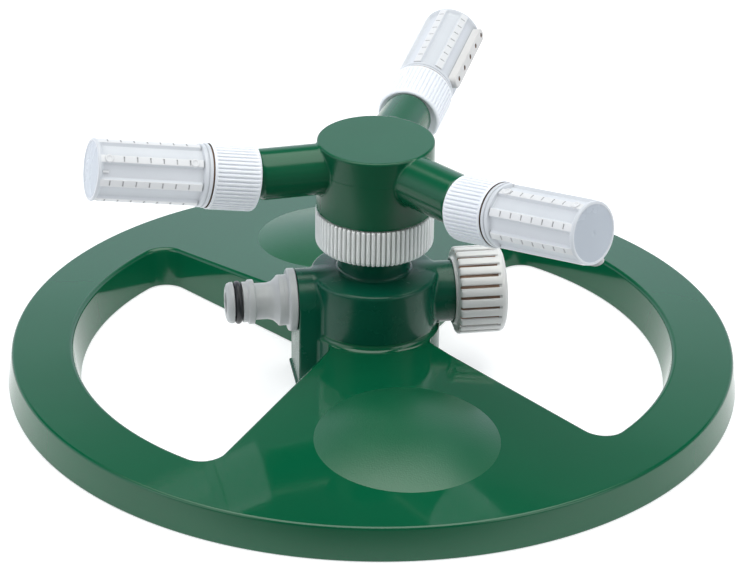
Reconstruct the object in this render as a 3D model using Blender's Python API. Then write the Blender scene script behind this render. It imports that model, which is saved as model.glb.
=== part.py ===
"""Rotating three-arm garden sprinkler on a round stand.

Metres, +Z up. The origin is at the centre of the stand, on the surface that it
stands on. The supply pipe runs along X, with the hose nipple at -X and the
blanking cap at +X. The two broad spokes of the stand point to -Y and +Y.
"""

import math

import bmesh
import bpy
from mathutils import Matrix, Vector

MM = 0.001

# ---------------------------------------------------------------- stand
STAND_R = 135.0          # outside of the skirt, at the floor
EDGE_R = 133.4           # outside of the top edge
EDGE_Z = 12.5            # height of the top edge
CONE_SLOPE = 0.075       # the top face climbs this much per mm towards the middle
WALL = 2.4               # moulded wall
OPEN_R_LOW = 108.1       # far wall of an opening, at the floor
OPEN_R_TOP = 111.4       # the same at the top face
SPOKE_A_LOW = 7.65       # spoke edge |x| = A + B * |y|, at the floor
SPOKE_A_TOP = 5.8
SPOKE_B = 0.739
OPEN_CORNER_R = 8.5      # rounding of an opening's two outer corners
OPEN_R_NEAR = 24.6       # near wall of an opening, round the valve housing
OPEN_NEAR_CORNER_R = 3.0
PAD_R = 32.85            # round raised pad on each spoke
PAD_Y = 80.4
PAD_RISE = 4.2

# ---------------------------------------------------------------- valve housing
HOUSING_R = 23.4
HOUSING_WALL = 2.5
SHOULDER_Z = 42.6        # rim of the housing's top
SHOULDER_TOP = 43.9      # highest point of the housing's top, at the neck
PIPE_Z = 32.0            # axis of the supply pipe
PIPE_R = 11.4
PIPE_BORE = 6.5
PIPE_END_IN = -29.0      # face that the nipple is screwed into
PIPE_END_OUT = 43.5      # open end under the blanking cap
NIPPLE_SOCKET_R = 9.8
NIPPLE_SOCKET_END = -18.0
SPINDLE_SOCKET_R = 9.7
SPINDLE_SOCKET_Z = 39.0

# ---------------------------------------------------------------- spindle and hub
NECK_R = 13.3
FLANGE_R = 16.6
FLANGE_Z = (57.2, 59.4)
SPIGOT_R = 9.0
SPIGOT_TOP = 68.8
WATER_BORE = 5.0
HUB_R = 21.4
HUB_Z = (68.0, 95.0)
SKIRT_R = 18.7           # threaded skirt inside the nut
SKIRT_BORE = 17.2
SKIRT_BOTTOM = 60.4
CHAMBER_R = 16.6
CHAMBER_TOP = 92.0
NUT_R = 21.65
NUT_Z = (53.5, 67.7)
NUT_LIP_R = 13.7

# ---------------------------------------------------------------- arms and heads
ARM_AZIMUTHS = (-54.4, 65.6, 185.6)    # degrees from +X
ARM_Z = 85.4
ARM_R = 9.35
ARM_BORE = 6.6
ARM_END = 42.4           # end face of the arm tube, from the hub's axis
BALL_AT = 52.8           # centre of the ball, from the hub's axis
BALL_R = 8.6
BALL_NECK_R = 5.6
BALL_BORE = 3.2
HEAD_TILT = 10.0         # degrees that the heads stand above the level
HEAD_YAW = (2.4, -1.1, 1.8)            # small sideways set of each head
HEAD_ROLL = (288.0, 167.0, 225.0)      # where each head's jets are turned to
UNION_R = 12.0
UNION_S = (-7.7, 9.6)    # along the head's axis, from the ball's centre
TAIL_R = 10.6            # threaded tail of the barrel, inside the union nut
SOCKET_R = 9.3
BARREL_BORE = 8.0
RIB_R = 11.5
FLAT_R = 10.3
RIM_R = 11.3
BARREL_END = 52.4
JET_SPACING = 7.8
JET_MID = 33.6
JET_R = 0.8
BAR_FACE = 13.2          # outer face of the jet bar, from the head's axis
BAR_BACK = 11.35
BAR_WIDTH = 5.0
BAR_S = (13.6, 51.7)

# ---------------------------------------------------------------- hose nipple and cap
NIPPLE_TIP = -54.8
CAP_R = 16.2
CAP_S = (30.3, 47.9)


def clear_scene():
    for ob in list(bpy.data.objects):
        bpy.data.objects.remove(ob, do_unlink=True)


def material(name, colour, roughness, metallic=0.0):
    mat = bpy.data.materials.new(name)
    mat.use_nodes = True
    shader = mat.node_tree.nodes["Principled BSDF"]
    shader.inputs["Base Color"].default_value = (*colour, 1.0)
    shader.inputs["Roughness"].default_value = roughness
    shader.inputs["Metallic"].default_value = metallic
    return mat


def add_object(name, bm, mat=None, smooth_angle=35.0):
    bmesh.ops.remove_doubles(bm, verts=bm.verts, dist=1e-6)
    bmesh.ops.recalc_face_normals(bm, faces=bm.faces)
    mesh = bpy.data.meshes.new(name)
    bm.to_mesh(mesh)
    bm.free()
    if mat is not None:
        mesh.materials.append(mat)
    mesh.shade_smooth()
    mesh.set_sharp_from_angle(angle=math.radians(smooth_angle))
    ob = bpy.data.objects.new(name, mesh)
    bpy.context.scene.collection.objects.link(ob)
    return ob


def hide_cutter(ob):
    ob.hide_render = True
    ob.display_type = 'WIRE'
    return ob


def turned(name, profile, segments, mat=None, closed=True, phase=0.0):
    """Spin a profile of (radius, height) points, in millimetres, about Z.

    phase, in degrees, keeps the facets of two pieces from falling in line."""
    bm = bmesh.new()
    c, s = math.cos(math.radians(phase)), math.sin(math.radians(phase))
    verts = [bm.verts.new((r * c * MM, r * s * MM, z * MM)) for r, z in profile]
    count = len(verts) if closed else len(verts) - 1
    edges = [bm.edges.new((verts[i], verts[(i + 1) % len(verts)])) for i in range(count)]
    bmesh.ops.spin(bm, geom=verts + edges, cent=(0, 0, 0), axis=(0, 0, 1),
                   angle=math.tau, steps=segments, use_duplicate=False)
    return add_object(name, bm, mat)


def prism(name, rings, mat=None):
    """Skin a list of rings, each a list of (x, y, z) points in millimetres."""
    bm = bmesh.new()
    loops = [[bm.verts.new((x * MM, y * MM, z * MM)) for x, y, z in ring] for ring in rings]
    n = len(loops[0])
    for low, high in zip(loops, loops[1:]):
        for i in range(n):
            j = (i + 1) % n
            bm.faces.new((low[i], low[j], high[j], high[i]))
    bm.faces.new(list(reversed(loops[0])))
    bm.faces.new(loops[-1])
    return add_object(name, bm, mat)


def boolean(ob, other, operation):
    mod = ob.modifiers.new(operation.lower() + "_" + other.name, 'BOOLEAN')
    mod.operation = operation
    mod.solver = 'EXACT'
    mod.object = other
    return mod


def arc(cx, cz, radius, start, end, steps):
    """Points of an arc in the profile plane, angles in degrees."""
    return [(cx + radius * math.cos(math.radians(start + (end - start) * i / steps)),
             cz + radius * math.sin(math.radians(start + (end - start) * i / steps)))
            for i in range(steps + 1)]


def cone_z(r):
    return EDGE_Z + CONE_SLOPE * (EDGE_R - r)


# ---------------------------------------------------------------- the stand's shapes

def corner_arc(a, wall_r, corner, outer, steps):
    """Round corner between a spoke edge and the far or the near wall.

    Returns points in order from the spoke edge to the round wall."""
    r_centre = wall_r - corner if outer else wall_r + corner
    a_in = a + corner * math.hypot(1.0, SPOKE_B)
    qa = 1 + SPOKE_B ** 2
    qb = 2 * a_in * SPOKE_B
    qc = a_in ** 2 - r_centre ** 2
    yc = (-qb + math.sqrt(qb * qb - 4 * qa * qc)) / (2 * qa)
    xc = a_in + SPOKE_B * yc
    start = math.degrees(math.atan2(SPOKE_B, -1.0))
    end = math.degrees(math.atan2(yc, xc)) + (0.0 if outer else 180.0)
    return [(xc + corner * math.cos(math.radians(t)), yc + corner * math.sin(math.radians(t)))
            for t in [start + (end - start) * i / steps for i in range(steps + 1)]]


def opening_outline(side, offset, r_far, a):
    """Plan of one side opening: straight spoke edges, a far and a near arc, round corners.

    offset moves every wall outwards from the opening, into the plastic."""
    a = a - offset * math.hypot(1.0, SPOKE_B)
    r_far = r_far + offset
    r_near = OPEN_R_NEAR - offset
    outer = corner_arc(a, r_far, OPEN_CORNER_R + offset, True, 5)
    inner = corner_arc(a, r_near, OPEN_NEAR_CORNER_R + offset, False, 3)
    half_far = math.degrees(math.atan2(outer[-1][1], outer[-1][0]))
    half_near = math.degrees(math.atan2(inner[-1][1], inner[-1][0]))
    far = [(r_far * math.cos(math.radians(t)), r_far * math.sin(math.radians(t)))
           for t in [half_far - 2 * half_far * i / 19 for i in range(1, 19)]]
    near = [(r_near * math.cos(math.radians(t)), r_near * math.sin(math.radians(t)))
            for t in [-half_near + 2 * half_near * i / 7 for i in range(1, 7)]]
    pts = (list(reversed(inner)) + outer + far + [(x, -y) for x, y in reversed(outer)]
           + [(x, -y) for x, y in inner] + near)
    return [(side * x, y) for x, y in pts]


def opening_cutter(name, side, offset, z_low, z_high):
    """Tapered cutter: the walls lean back a little towards the top."""
    rings = []
    z_ref = 16.0
    for z in (z_low, z_high):
        t = z / z_ref
        outline = opening_outline(side, offset, OPEN_R_LOW + (OPEN_R_TOP - OPEN_R_LOW) * t,
                                  SPOKE_A_LOW + (SPOKE_A_TOP - SPOKE_A_LOW) * t)
        rings.append([(x, y, z) for x, y in outline])
    return hide_cutter(prism(name, rings))


def pad_lens(name, sign, radius, rise, drop, segments, rings):
    """Low spherical pad whose rim stands a hair's breadth above the stand's cone."""
    step = 0.12
    ball = (radius ** 2 + rise ** 2) / (2 * rise)
    half = math.degrees(math.asin(radius / ball))
    profile = [(0.0, -drop), (radius, -drop), (radius, step)]
    profile += [(ball * math.sin(math.radians(half * (1 - i / rings))),
                 ball * math.cos(math.radians(half * (1 - i / rings))) - ball + rise + step)
                for i in range(1, rings + 1)]
    ob = turned(name, profile, segments, closed=False, phase=1.3 * segments / 20.0)
    ob.location = (0.0, sign * PAD_Y * MM, cone_z(PAD_Y) * MM)
    ob.rotation_euler = (sign * -math.atan(CONE_SLOPE), 0.0, 0.0)
    return hide_cutter(ob)


def along_x(ob, flip=False):
    """Turn a piece spun about Z so that its axis lies along the pipe."""
    ob.rotation_euler = (0.0, math.radians(90.0), 0.0)
    ob.location = (0.0, 0.0, PIPE_Z * MM)
    return ob


def build_stand(mat):
    top_in = cone_z(0.0)
    low = -1.5           # everything is moulded a little long and then trimmed level
    draft = (STAND_R - EDGE_R - 0.25) / (EDGE_Z - 1.3)
    ob = turned("base_moulding", [(0.0, low), (STAND_R - low * draft, low), (EDGE_R + 0.25, EDGE_Z - 1.3),
                                  (EDGE_R - 0.7, EDGE_Z + 0.02), (30.0, cone_z(30.0)), (0.0, top_in)],
                80, mat, closed=False)
    for sign, tag in ((-1, "front"), (1, "rear")):
        boolean(ob, pad_lens("pad_" + tag, sign, PAD_R, PAD_RISE, 1.5, 40, 4), 'UNION')
    housing = turned("housing_body", [(0.0, 4.0), (HOUSING_R, 4.0), (HOUSING_R, 41.2), (HOUSING_R - 0.5, 42.2),
                                      (HOUSING_R - 1.6, SHOULDER_Z + 0.1), (15.0, SHOULDER_TOP), (0.0, SHOULDER_TOP)],
                     48, closed=False, phase=1.9)
    boolean(ob, hide_cutter(housing), 'UNION')
    for side, tag in ((1, "right"), (-1, "left")):
        boolean(ob, opening_cutter("opening_" + tag, side, 0.0, -4.0, 30.0), 'DIFFERENCE')

    # hollow underside, one wall thick all round
    under = turned("underside", [(23.2, -3.0), (STAND_R - WALL + 3.0 * draft, -3.0), (EDGE_R - WALL, EDGE_Z - WALL),
                                 (23.2, cone_z(23.2) - WALL)], 72, phase=0.83)
    hide_cutter(under)
    for sign, tag in ((-1, "front"), (1, "rear")):
        lens = pad_lens("pad_inside_" + tag, sign, PAD_R - 2.0, PAD_RISE - 0.3, 2.5, 32, 3)
        lens.location.z -= WALL * MM
        boolean(under, lens, 'UNION')
    for side, tag in ((1, "right"), (-1, "left")):
        boolean(under, opening_cutter("opening_wall_" + tag, side, WALL, -5.0, 32.0), 'DIFFERENCE')
    boolean(ob, under, 'DIFFERENCE')

    # inlet support and pipe
    outline = [(-PIPE_R, -1.0), (PIPE_R, -1.0)] + arc(0.0, PIPE_Z, PIPE_R, 0.0, 180.0, 12)
    support = prism("inlet_support", [[(x, y, z) for y, z in outline] for x in (PIPE_END_IN, -14.0)])
    boolean(ob, hide_cutter(support), 'UNION')
    pipe = turned("outlet_pipe", [(0.0, -12.0), (PIPE_R - 0.1, -12.0), (PIPE_R - 0.1, PIPE_END_OUT), (0.0, PIPE_END_OUT)],
                  28, closed=False, phase=3.3)
    boolean(ob, along_x(hide_cutter(pipe)), 'UNION')

    # the housing is a shell around the pipe and the spindle's boss
    shell = turned("housing_hollow", [(0.0, -3.0), (HOUSING_R - HOUSING_WALL, -3.0), (HOUSING_R - HOUSING_WALL, 40.0),
                                      (0.0, 40.0)], 40, closed=False, phase=3.7)
    hide_cutter(shell)
    tube = turned("pipe_wall", [(0.0, -40.0), (PIPE_R, -40.0), (PIPE_R, 50.0), (0.0, 50.0)], 28, closed=False, phase=4.3)
    boolean(shell, along_x(hide_cutter(tube)), 'DIFFERENCE')
    boss = turned("spindle_boss", [(0.0, PIPE_Z), (12.6, PIPE_Z), (12.6, 42.0), (0.0, 42.0)], 28, closed=False, phase=4.9)
    boolean(shell, hide_cutter(boss), 'DIFFERENCE')
    boolean(ob, shell, 'DIFFERENCE')
    foot = prism("support_hollow", [[(x, -9.0, -3.0), (x, 9.0, -3.0), (x, 9.0, 18.5), (x, -9.0, 18.5)]
                                    for x in (-26.6, -22.6)])
    boolean(ob, hide_cutter(foot), 'DIFFERENCE')
    floor = prism("level_floor", [[(-150.0, -150.0, z), (150.0, -150.0, z), (150.0, 150.0, z), (-150.0, 150.0, z)]
                                  for z in (-10.0, 0.0)])
    boolean(ob, hide_cutter(floor), 'DIFFERENCE')

    # water ways
    bore = turned("pipe_bore", [(0.0, -35.0), (NIPPLE_SOCKET_R, -35.0), (NIPPLE_SOCKET_R, NIPPLE_SOCKET_END),
                                (PIPE_BORE, NIPPLE_SOCKET_END), (PIPE_BORE, 50.0), (0.0, 50.0)], 24, closed=False,
                  phase=2.1)
    boolean(ob, along_x(hide_cutter(bore)), 'DIFFERENCE')
    socket = turned("spindle_socket", [(0.0, PIPE_Z), (WATER_BORE, PIPE_Z), (WATER_BORE, SPINDLE_SOCKET_Z),
                                       (SPINDLE_SOCKET_R, SPINDLE_SOCKET_Z), (SPINDLE_SOCKET_R, 50.0), (0.0, 50.0)],
                    24, closed=False, phase=1.1)
    boolean(ob, hide_cutter(socket), 'DIFFERENCE')
    return ob


def ring(name, r_in, r_out, z_low, z_high, segments, mat):
    return turned(name, [(r_in, z_low), (r_out, z_low), (r_out, z_high), (r_in, z_high)], segments, mat)


def o_ring(name, r_mid, z_mid, section, segments, mat):
    return turned(name, arc(r_mid, z_mid, section, 0.0, 360.0, 8)[:-1], segments, mat)


# ---------------------------------------------------------------- inlet side

def build_nipple(mat):
    profile = [(4.2, NIPPLE_TIP), (5.8, NIPPLE_TIP), (7.0, -54.3), (7.6, -53.2), (7.6, -52.0),
               (5.1, -52.0), (5.1, -48.9), (7.5, -48.9), (7.5, -47.0), (8.2, -46.6), (8.2, -44.5),
               (6.7, -44.2), (6.7, -39.0), (7.3, -37.6), (8.6, -36.2), (9.35, -35.7), (9.35, -32.3),
               (11.55, -32.3), (11.55, -29.3), (9.5, -29.3), (9.5, -20.0), (4.2, -20.0)]
    return along_x(turned("inlet_nipple", profile, 24, mat))


def build_cap(mat):
    start, end = CAP_S
    profile = [(0.0, end), (CAP_R - 1.5, end), (CAP_R, end - 1.5), (CAP_R, start), (12.5, start),
               (12.5, start - 1.3), (11.7, start - 1.3), (11.7, 45.9), (0.0, 45.9)]
    return along_x(turned("end_cap", profile, 36, mat, closed=False))


# ---------------------------------------------------------------- spindle and rotor

def build_spindle(mat):
    profile = [(WATER_BORE, 39.3), (9.4, 39.3), (9.4, 44.2), (14.9, 44.2), (13.8, 44.7), (NECK_R, 45.8),
               (NECK_R, FLANGE_Z[0]), (FLANGE_R, FLANGE_Z[0]), (FLANGE_R, FLANGE_Z[1]), (SPIGOT_R, FLANGE_Z[1]),
               (SPIGOT_R, 64.0), (7.6, 64.0), (7.6, 66.0), (SPIGOT_R, 66.0), (SPIGOT_R, SPIGOT_TOP),
               (WATER_BORE, SPIGOT_TOP)]
    return turned("spindle", profile, 28, mat)


def arm_profile():
    """Arm tube, neck and ball, along the arm's own axis from the hub's axis."""
    neck_angle = math.degrees(math.asin(BALL_NECK_R / BALL_R))
    tip_angle = 180.0 - math.degrees(math.asin(BALL_BORE * 1.35 / BALL_R))
    pts = [(0.0, 17.8), (ARM_R, 17.8), (ARM_R, ARM_END - 0.7), (ARM_R - 0.6, ARM_END), (BALL_NECK_R, ARM_END)]
    for i in range(8):
        t = math.radians(neck_angle + (tip_angle - neck_angle) * i / 7)
        pts.append((BALL_R * math.sin(t), BALL_AT - BALL_R * math.cos(t)))
    pts.append((0.0, pts[-1][1]))
    return pts


def point_along(ob, azimuth, height):
    """Lay a piece spun about Z level, pointing out at an azimuth."""
    ob.matrix_world = (Matrix.Translation((0.0, 0.0, height * MM))
                       @ Matrix.Rotation(math.radians(azimuth), 4, 'Z')
                       @ Matrix.Rotation(math.radians(90.0), 4, 'Y'))
    return ob


def build_hub(mat):
    low, high = HUB_Z
    ob = turned("hub", [(SKIRT_BORE, SKIRT_BOTTOM), (SKIRT_R, SKIRT_BOTTOM), (SKIRT_R, low), (HUB_R, low),
                        (HUB_R, high - 0.5), (HUB_R - 0.5, high), (0.0, high), (0.0, CHAMBER_TOP),
                        (CHAMBER_R, CHAMBER_TOP), (CHAMBER_R, 69.5), (SKIRT_BORE, 69.5)], 48, mat)
    for i, azimuth in enumerate(ARM_AZIMUTHS, 1):
        arm = hide_cutter(turned("arm_%d" % i, arm_profile(), 24, closed=False))
        boolean(ob, point_along(arm, azimuth, ARM_Z), 'UNION')
    for i, azimuth in enumerate(ARM_AZIMUTHS, 1):
        way = turned("arm_bore_%d" % i, [(0.0, 12.0), (ARM_BORE, 12.0), (ARM_BORE, 38.5), (BALL_BORE, 40.0),
                                         (BALL_BORE, 70.0), (0.0, 70.0)], 16, closed=False)
        boolean(ob, point_along(hide_cutter(way), azimuth, ARM_Z), 'DIFFERENCE')
    return ob


def build_hub_nut(mat):
    low, high = NUT_Z
    return turned("hub_nut", [(NUT_LIP_R, low), (NUT_R - 2.2, low), (NUT_R - 0.7, low + 0.5), (NUT_R, low + 1.9),
                              (NUT_R, high), (SKIRT_R + 0.3, high), (SKIRT_R + 0.3, low + 2.5),
                              (NUT_LIP_R, low + 2.5)], 36, mat)


# ---------------------------------------------------------------- heads

def head_frame(index):
    """Ball's centre, with +Z out along the head, +Y up and +X to the left of it."""
    azimuth = math.radians(ARM_AZIMUTHS[index])
    centre = Vector((BALL_AT * math.cos(azimuth), BALL_AT * math.sin(azimuth), ARM_Z)) * MM
    a = azimuth + math.radians(HEAD_YAW[index])
    t = math.radians(HEAD_TILT)
    out = Vector((math.cos(a) * math.cos(t), math.sin(a) * math.cos(t), math.sin(t)))
    left = Vector((-math.sin(a), math.cos(a), 0.0))
    up = out.cross(left)
    frame = Matrix((left, up, out)).transposed().to_4x4()
    frame.translation = centre
    return frame


def barrel_ring(s, kind, radius=0.0):
    """One ring of the barrel: 'round', or 'ribbed' with seven ribs and one pad."""
    pts = []
    for k in range(8):
        for offset, ribbed in ((-9.0, FLAT_R), (-7.2, RIB_R), (7.2, RIB_R), (9.0, FLAT_R)):
            angle = math.radians(45.0 * k + offset)
            if kind == 'round':
                r = radius
            elif k == 0:
                r = RIM_R
            else:
                r = ribbed
            pts.append((r * math.cos(angle), r * math.sin(angle), s))
    return pts


def build_barrel(name, mat):
    rings = [barrel_ring(50.4, 'round', BARREL_BORE), barrel_ring(6.3, 'round', BARREL_BORE),
             barrel_ring(6.3, 'round', SOCKET_R), barrel_ring(-1.0, 'round', SOCKET_R),
             barrel_ring(-1.0, 'round', TAIL_R), barrel_ring(10.5, 'round', TAIL_R),
             barrel_ring(10.5, 'round', 11.7), barrel_ring(13.2, 'round', 11.7),
             barrel_ring(13.2, 'ribbed'), barrel_ring(50.6, 'ribbed'),
             barrel_ring(51.2, 'round', RIM_R), barrel_ring(BARREL_END - 0.5, 'round', RIM_R),
             barrel_ring(BARREL_END, 'round', RIM_R - 0.5)]
    ob = prism(name, rings, mat)
    slot = prism(name + "_slot", [[(x, -1.2, JET_MID - 16.5), (x, 1.2, JET_MID - 16.5),
                                   (x, 1.2, JET_MID + 16.5), (x, -1.2, JET_MID + 16.5)] for x in (6.0, 12.0)])
    boolean(ob, hide_cutter(slot), 'DIFFERENCE')
    return ob, slot


def build_bar(name, mat):
    """Strip with round ends and five jets, lying along the barrel at +X."""
    low, high = BAR_S
    half = BAR_WIDTH / 2
    outline = [(half * math.cos(math.radians(t)), low + half + half * math.sin(math.radians(t)))
               for t in range(180, 361, 30)]
    outline += [(half * math.cos(math.radians(t)), high - half + half * math.sin(math.radians(t)))
                for t in range(0, 181, 30)]
    rings = [[(x, y * k, JET_MID + (s - JET_MID) * (1 - (1 - k) * half / 20.0)) for y, s in outline]
             for x, k in ((BAR_BACK, 1.0), (BAR_FACE - 0.4, 1.0), (BAR_FACE, 0.86))]
    ob = prism(name, rings, mat)
    cutters = []
    for j in range(5):
        s = JET_MID + (j - 2) * JET_SPACING
        jet = prism("%s_jet_%d" % (name, j + 1),
                    [[(x, JET_R * math.cos(math.radians(t)), s + JET_R * math.sin(math.radians(t)))
                      for t in range(0, 360, 45)] for x in (9.0, 16.0)])
        boolean(ob, hide_cutter(jet), 'DIFFERENCE')
        cutters.append(jet)
    return ob, cutters


def build_union_nut(name, mat):
    low, high = UNION_S
    return turned(name, [(10.9, low), (11.3, low), (UNION_R, low + 0.8), (UNION_R, high - 0.4), (UNION_R - 0.4, high),
                         (10.9, high), (10.9, -1.6), (9.3, -2.6), (7.85, -4.2), (7.85, -5.6)], 28, mat)


def build_seat(name, mat):
    return turned(name, [(8.35, 3.2), (9.0, 3.2), (9.0, 6.0), (6.65, 6.0)], 24, mat)


def empty(name, matrix, parent=None):
    ob = bpy.data.objects.new(name, None)
    ob.empty_display_size = 0.01
    bpy.context.scene.collection.objects.link(ob)
    ob.parent = parent
    ob.matrix_local = matrix
    return ob


def main():
    clear_scene()
    green = material("stand_green", (0.008, 0.105, 0.052), 0.22)
    dark_green = material("spindle_green", (0.006, 0.075, 0.040), 0.18)
    hub_green = material("hub_green", (0.010, 0.110, 0.055), 0.30)
    grey = material("fitting_grey", (0.62, 0.62, 0.62), 0.38)
    white = material("nut_white", (0.74, 0.78, 0.83), 0.40)
    pale = material("barrel_pale", (0.66, 0.70, 0.75), 0.35)
    warm = material("jet_bar_white", (0.74, 0.74, 0.73), 0.38)
    black = material("seal_black", (0.015, 0.016, 0.018), 0.45)
    slip = material("slip_ring", (0.80, 0.79, 0.75), 0.45)

    # fixed group
    build_stand(green)
    build_nipple(grey)
    along_x(o_ring("nipple_o_ring", 6.7, -50.45, 1.25, 24, black))
    along_x(ring("nipple_gasket", 5.2, 9.4, -19.7, -18.3, 20, black))
    build_spindle(dark_green)
    o_ring("spindle_o_ring", 8.45, 65.0, 0.55, 24, black)

    # blanking cap on its thread
    cap_axis = empty("cap_axis", Matrix.Translation((0.0, 0.0, PIPE_Z * MM)) @ Matrix.Rotation(math.radians(90.0), 4, 'Y'))
    cap = build_cap(grey)
    gasket = turned("cap_gasket", [(0.0, 43.9), (11.4, 43.9), (11.4, 45.6), (0.0, 45.6)], 24, black, closed=False)
    for ob in (cap, gasket):
        ob.location = (0.0, 0.0, 0.0)
        ob.rotation_euler = (0.0, 0.0, 0.0)
        ob.parent = cap_axis

    # rotor
    rotor_axis = empty("rotor_axis", Matrix.Identity(4))
    for ob in (build_hub(hub_green), ring("bearing_bush", 9.3, 16.9, 60.6, 69.0, 24, slip),
               ring("upper_thrust_washer", 9.3, 16.4, 59.7, 60.3, 24, slip),
               ring("lower_thrust_washer", 13.7, 16.8, 56.3, 56.9, 24, slip), build_hub_nut(grey)):
        ob.parent = rotor_axis

    # heads, each on its ball
    for i in range(3):
        n = i + 1
        ball = empty("ball_%d" % n, head_frame(i), rotor_axis)
        aim = empty("aim_%d" % n, Matrix.Rotation(math.radians(HEAD_ROLL[i]), 4, 'Z'), ball)
        build_seat("ball_seat_%d" % n, black).parent = ball
        build_union_nut("union_nut_%d" % n, white).parent = ball
        barrel, slot = build_barrel("head_barrel_%d" % n, pale)
        bar, jets = build_bar("jet_bar_%d" % n, warm)
        for ob in (barrel, slot, bar, *jets):
            ob.parent = aim


main()
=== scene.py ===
import math

import bpy
import bmesh
import numpy as np
from mathutils import Matrix, Vector
from mathutils.geometry import delaunay_2d_cdt


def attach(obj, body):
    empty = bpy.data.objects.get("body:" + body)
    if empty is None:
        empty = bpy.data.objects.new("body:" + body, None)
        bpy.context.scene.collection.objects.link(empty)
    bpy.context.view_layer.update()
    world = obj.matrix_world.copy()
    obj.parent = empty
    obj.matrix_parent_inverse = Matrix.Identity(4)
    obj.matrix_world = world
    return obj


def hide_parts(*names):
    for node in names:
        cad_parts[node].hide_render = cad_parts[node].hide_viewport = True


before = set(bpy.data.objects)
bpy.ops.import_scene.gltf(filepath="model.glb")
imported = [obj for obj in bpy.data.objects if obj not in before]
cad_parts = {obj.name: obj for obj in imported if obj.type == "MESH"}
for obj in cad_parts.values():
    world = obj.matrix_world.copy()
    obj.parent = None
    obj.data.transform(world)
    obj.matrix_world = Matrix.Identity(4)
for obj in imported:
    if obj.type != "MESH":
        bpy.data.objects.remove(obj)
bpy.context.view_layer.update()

MM = 0.001
scene = bpy.context.scene

# ------------------------------------------------------------------ sizes, in millimetres, as in the CAD
STAND_R, EDGE_R, EDGE_Z, CONE_SLOPE, WALL = 135.0, 133.4, 12.5, 0.075, 2.4
OPEN_R_LOW, OPEN_R_TOP, SPOKE_A_LOW, SPOKE_A_TOP, SPOKE_B = 108.1, 111.4, 7.65, 5.8, 0.739
OPEN_CORNER_R, OPEN_R_NEAR, OPEN_NEAR_CORNER_R = 8.5, 24.6, 3.0
PAD_R, PAD_Y, PAD_RISE = 32.85, 80.4, 4.4
HOUSING_R, SHOULDER_TOP = 23.4, 43.9
FLARE_R = 2.4                      # hollow of the foot, where the housing meets the stand
PIPE_Z = 32.0
ARM_AZIMUTHS = (-54.4, 65.6, 185.6)
ARM_Z, ARM_R, ARM_END = 85.4, 9.35, 42.4
BALL_AT, BALL_R = 52.8, 8.6
HEAD_TILT, HEAD_YAW, HEAD_ROLL = 10.0, (2.4, -1.1, 1.8), (288.0, 167.0, 225.0)
JET_SPACING, JET_MID = 7.8, 33.6


# ================================================================== mesh helpers

def from_arrays(name, verts_mm, faces, mats, face_mats=None, loop_normals=None, smooth_angle=None):
    """Object from vertex rows in millimetres and a list of faces."""
    mesh = bpy.data.meshes.new(name)
    mesh.from_pydata([tuple(v) for v in np.asarray(verts_mm, float) * MM], [], [tuple(int(i) for i in f) for f in faces])
    for m in mats:
        mesh.materials.append(m)
    if face_mats is not None:
        mesh.polygons.foreach_set("material_index", np.asarray(face_mats, np.int32))
    mesh.shade_smooth()
    if loop_normals is not None:
        mesh.normals_split_custom_set([tuple(n) for n in loop_normals])
    elif smooth_angle is not None:
        mesh.set_sharp_from_angle(angle=math.radians(smooth_angle))
    ob = bpy.data.objects.new(name, mesh)
    scene.collection.objects.link(ob)
    return ob


def unit(a):
    a = np.asarray(a, float)
    return a / np.maximum(np.linalg.norm(a, axis=-1, keepdims=True), 1e-12)


class Shell:
    """Gathers faces whose corners each have their own normal, then welds them into one mesh."""

    def __init__(self):
        self.points, self.faces, self.normals, self.mats, self.count = [], [], [], [], 0

    def add(self, points, faces, normals, mat=0):
        """normals: one per point, or one per face corner as a list of lists."""
        points = np.asarray(points, float)
        per_corner = isinstance(normals, list)
        for k, face in enumerate(faces):
            self.faces.append([int(i) + self.count for i in face])
            self.normals.append([normals[k][c] if per_corner else normals[i] for c, i in enumerate(face)])
            self.mats.append(mat if np.isscalar(mat) else mat[k])
        self.points.append(points)
        self.count += len(points)

    def strip(self, rings, ring_normals, close=True, flip=False, mat=0):
        rings = [np.asarray(r, float) for r in rings]
        n = len(rings[0])
        faces = []
        for a in range(len(rings) - 1):
            for i in range(n if close else n - 1):
                j = (i + 1) % n
                quad = [a * n + i, a * n + j, (a + 1) * n + j, (a + 1) * n + i]
                faces.append(quad[::-1] if flip else quad)
        self.add(np.concatenate(rings), faces, np.concatenate([np.asarray(x, float) for x in ring_normals]), mat)

    def build(self, name, mats):
        pts = np.concatenate(self.points)
        keys = np.round(pts * 5000.0).astype(np.int64)
        _, first, inverse = np.unique(keys, axis=0, return_index=True, return_inverse=True)
        inverse = inverse.reshape(-1)
        verts = pts[first]
        faces, normals, fm = [], [], []
        for f, n, m in zip(self.faces, self.normals, self.mats):
            g, gn = [], []
            for i, x in zip(f, n):
                w = int(inverse[i])
                if w not in g:
                    g.append(w)
                    gn.append(x)
            if len(g) < 3:
                continue
            a, b, c = verts[g[0]], verts[g[1]], verts[g[2]]
            geo = np.cross(b - a, c - a)
            if len(g) == 4:
                geo = np.cross(c - a, verts[g[3]] - b)
            if np.dot(geo, np.sum(gn, axis=0)) < 0:
                g.reverse()
                gn.reverse()
            faces.append(g)
            normals += gn
            fm.append(m)
        return from_arrays(name, verts, faces, mats, fm, unit(np.array(normals)))


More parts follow.
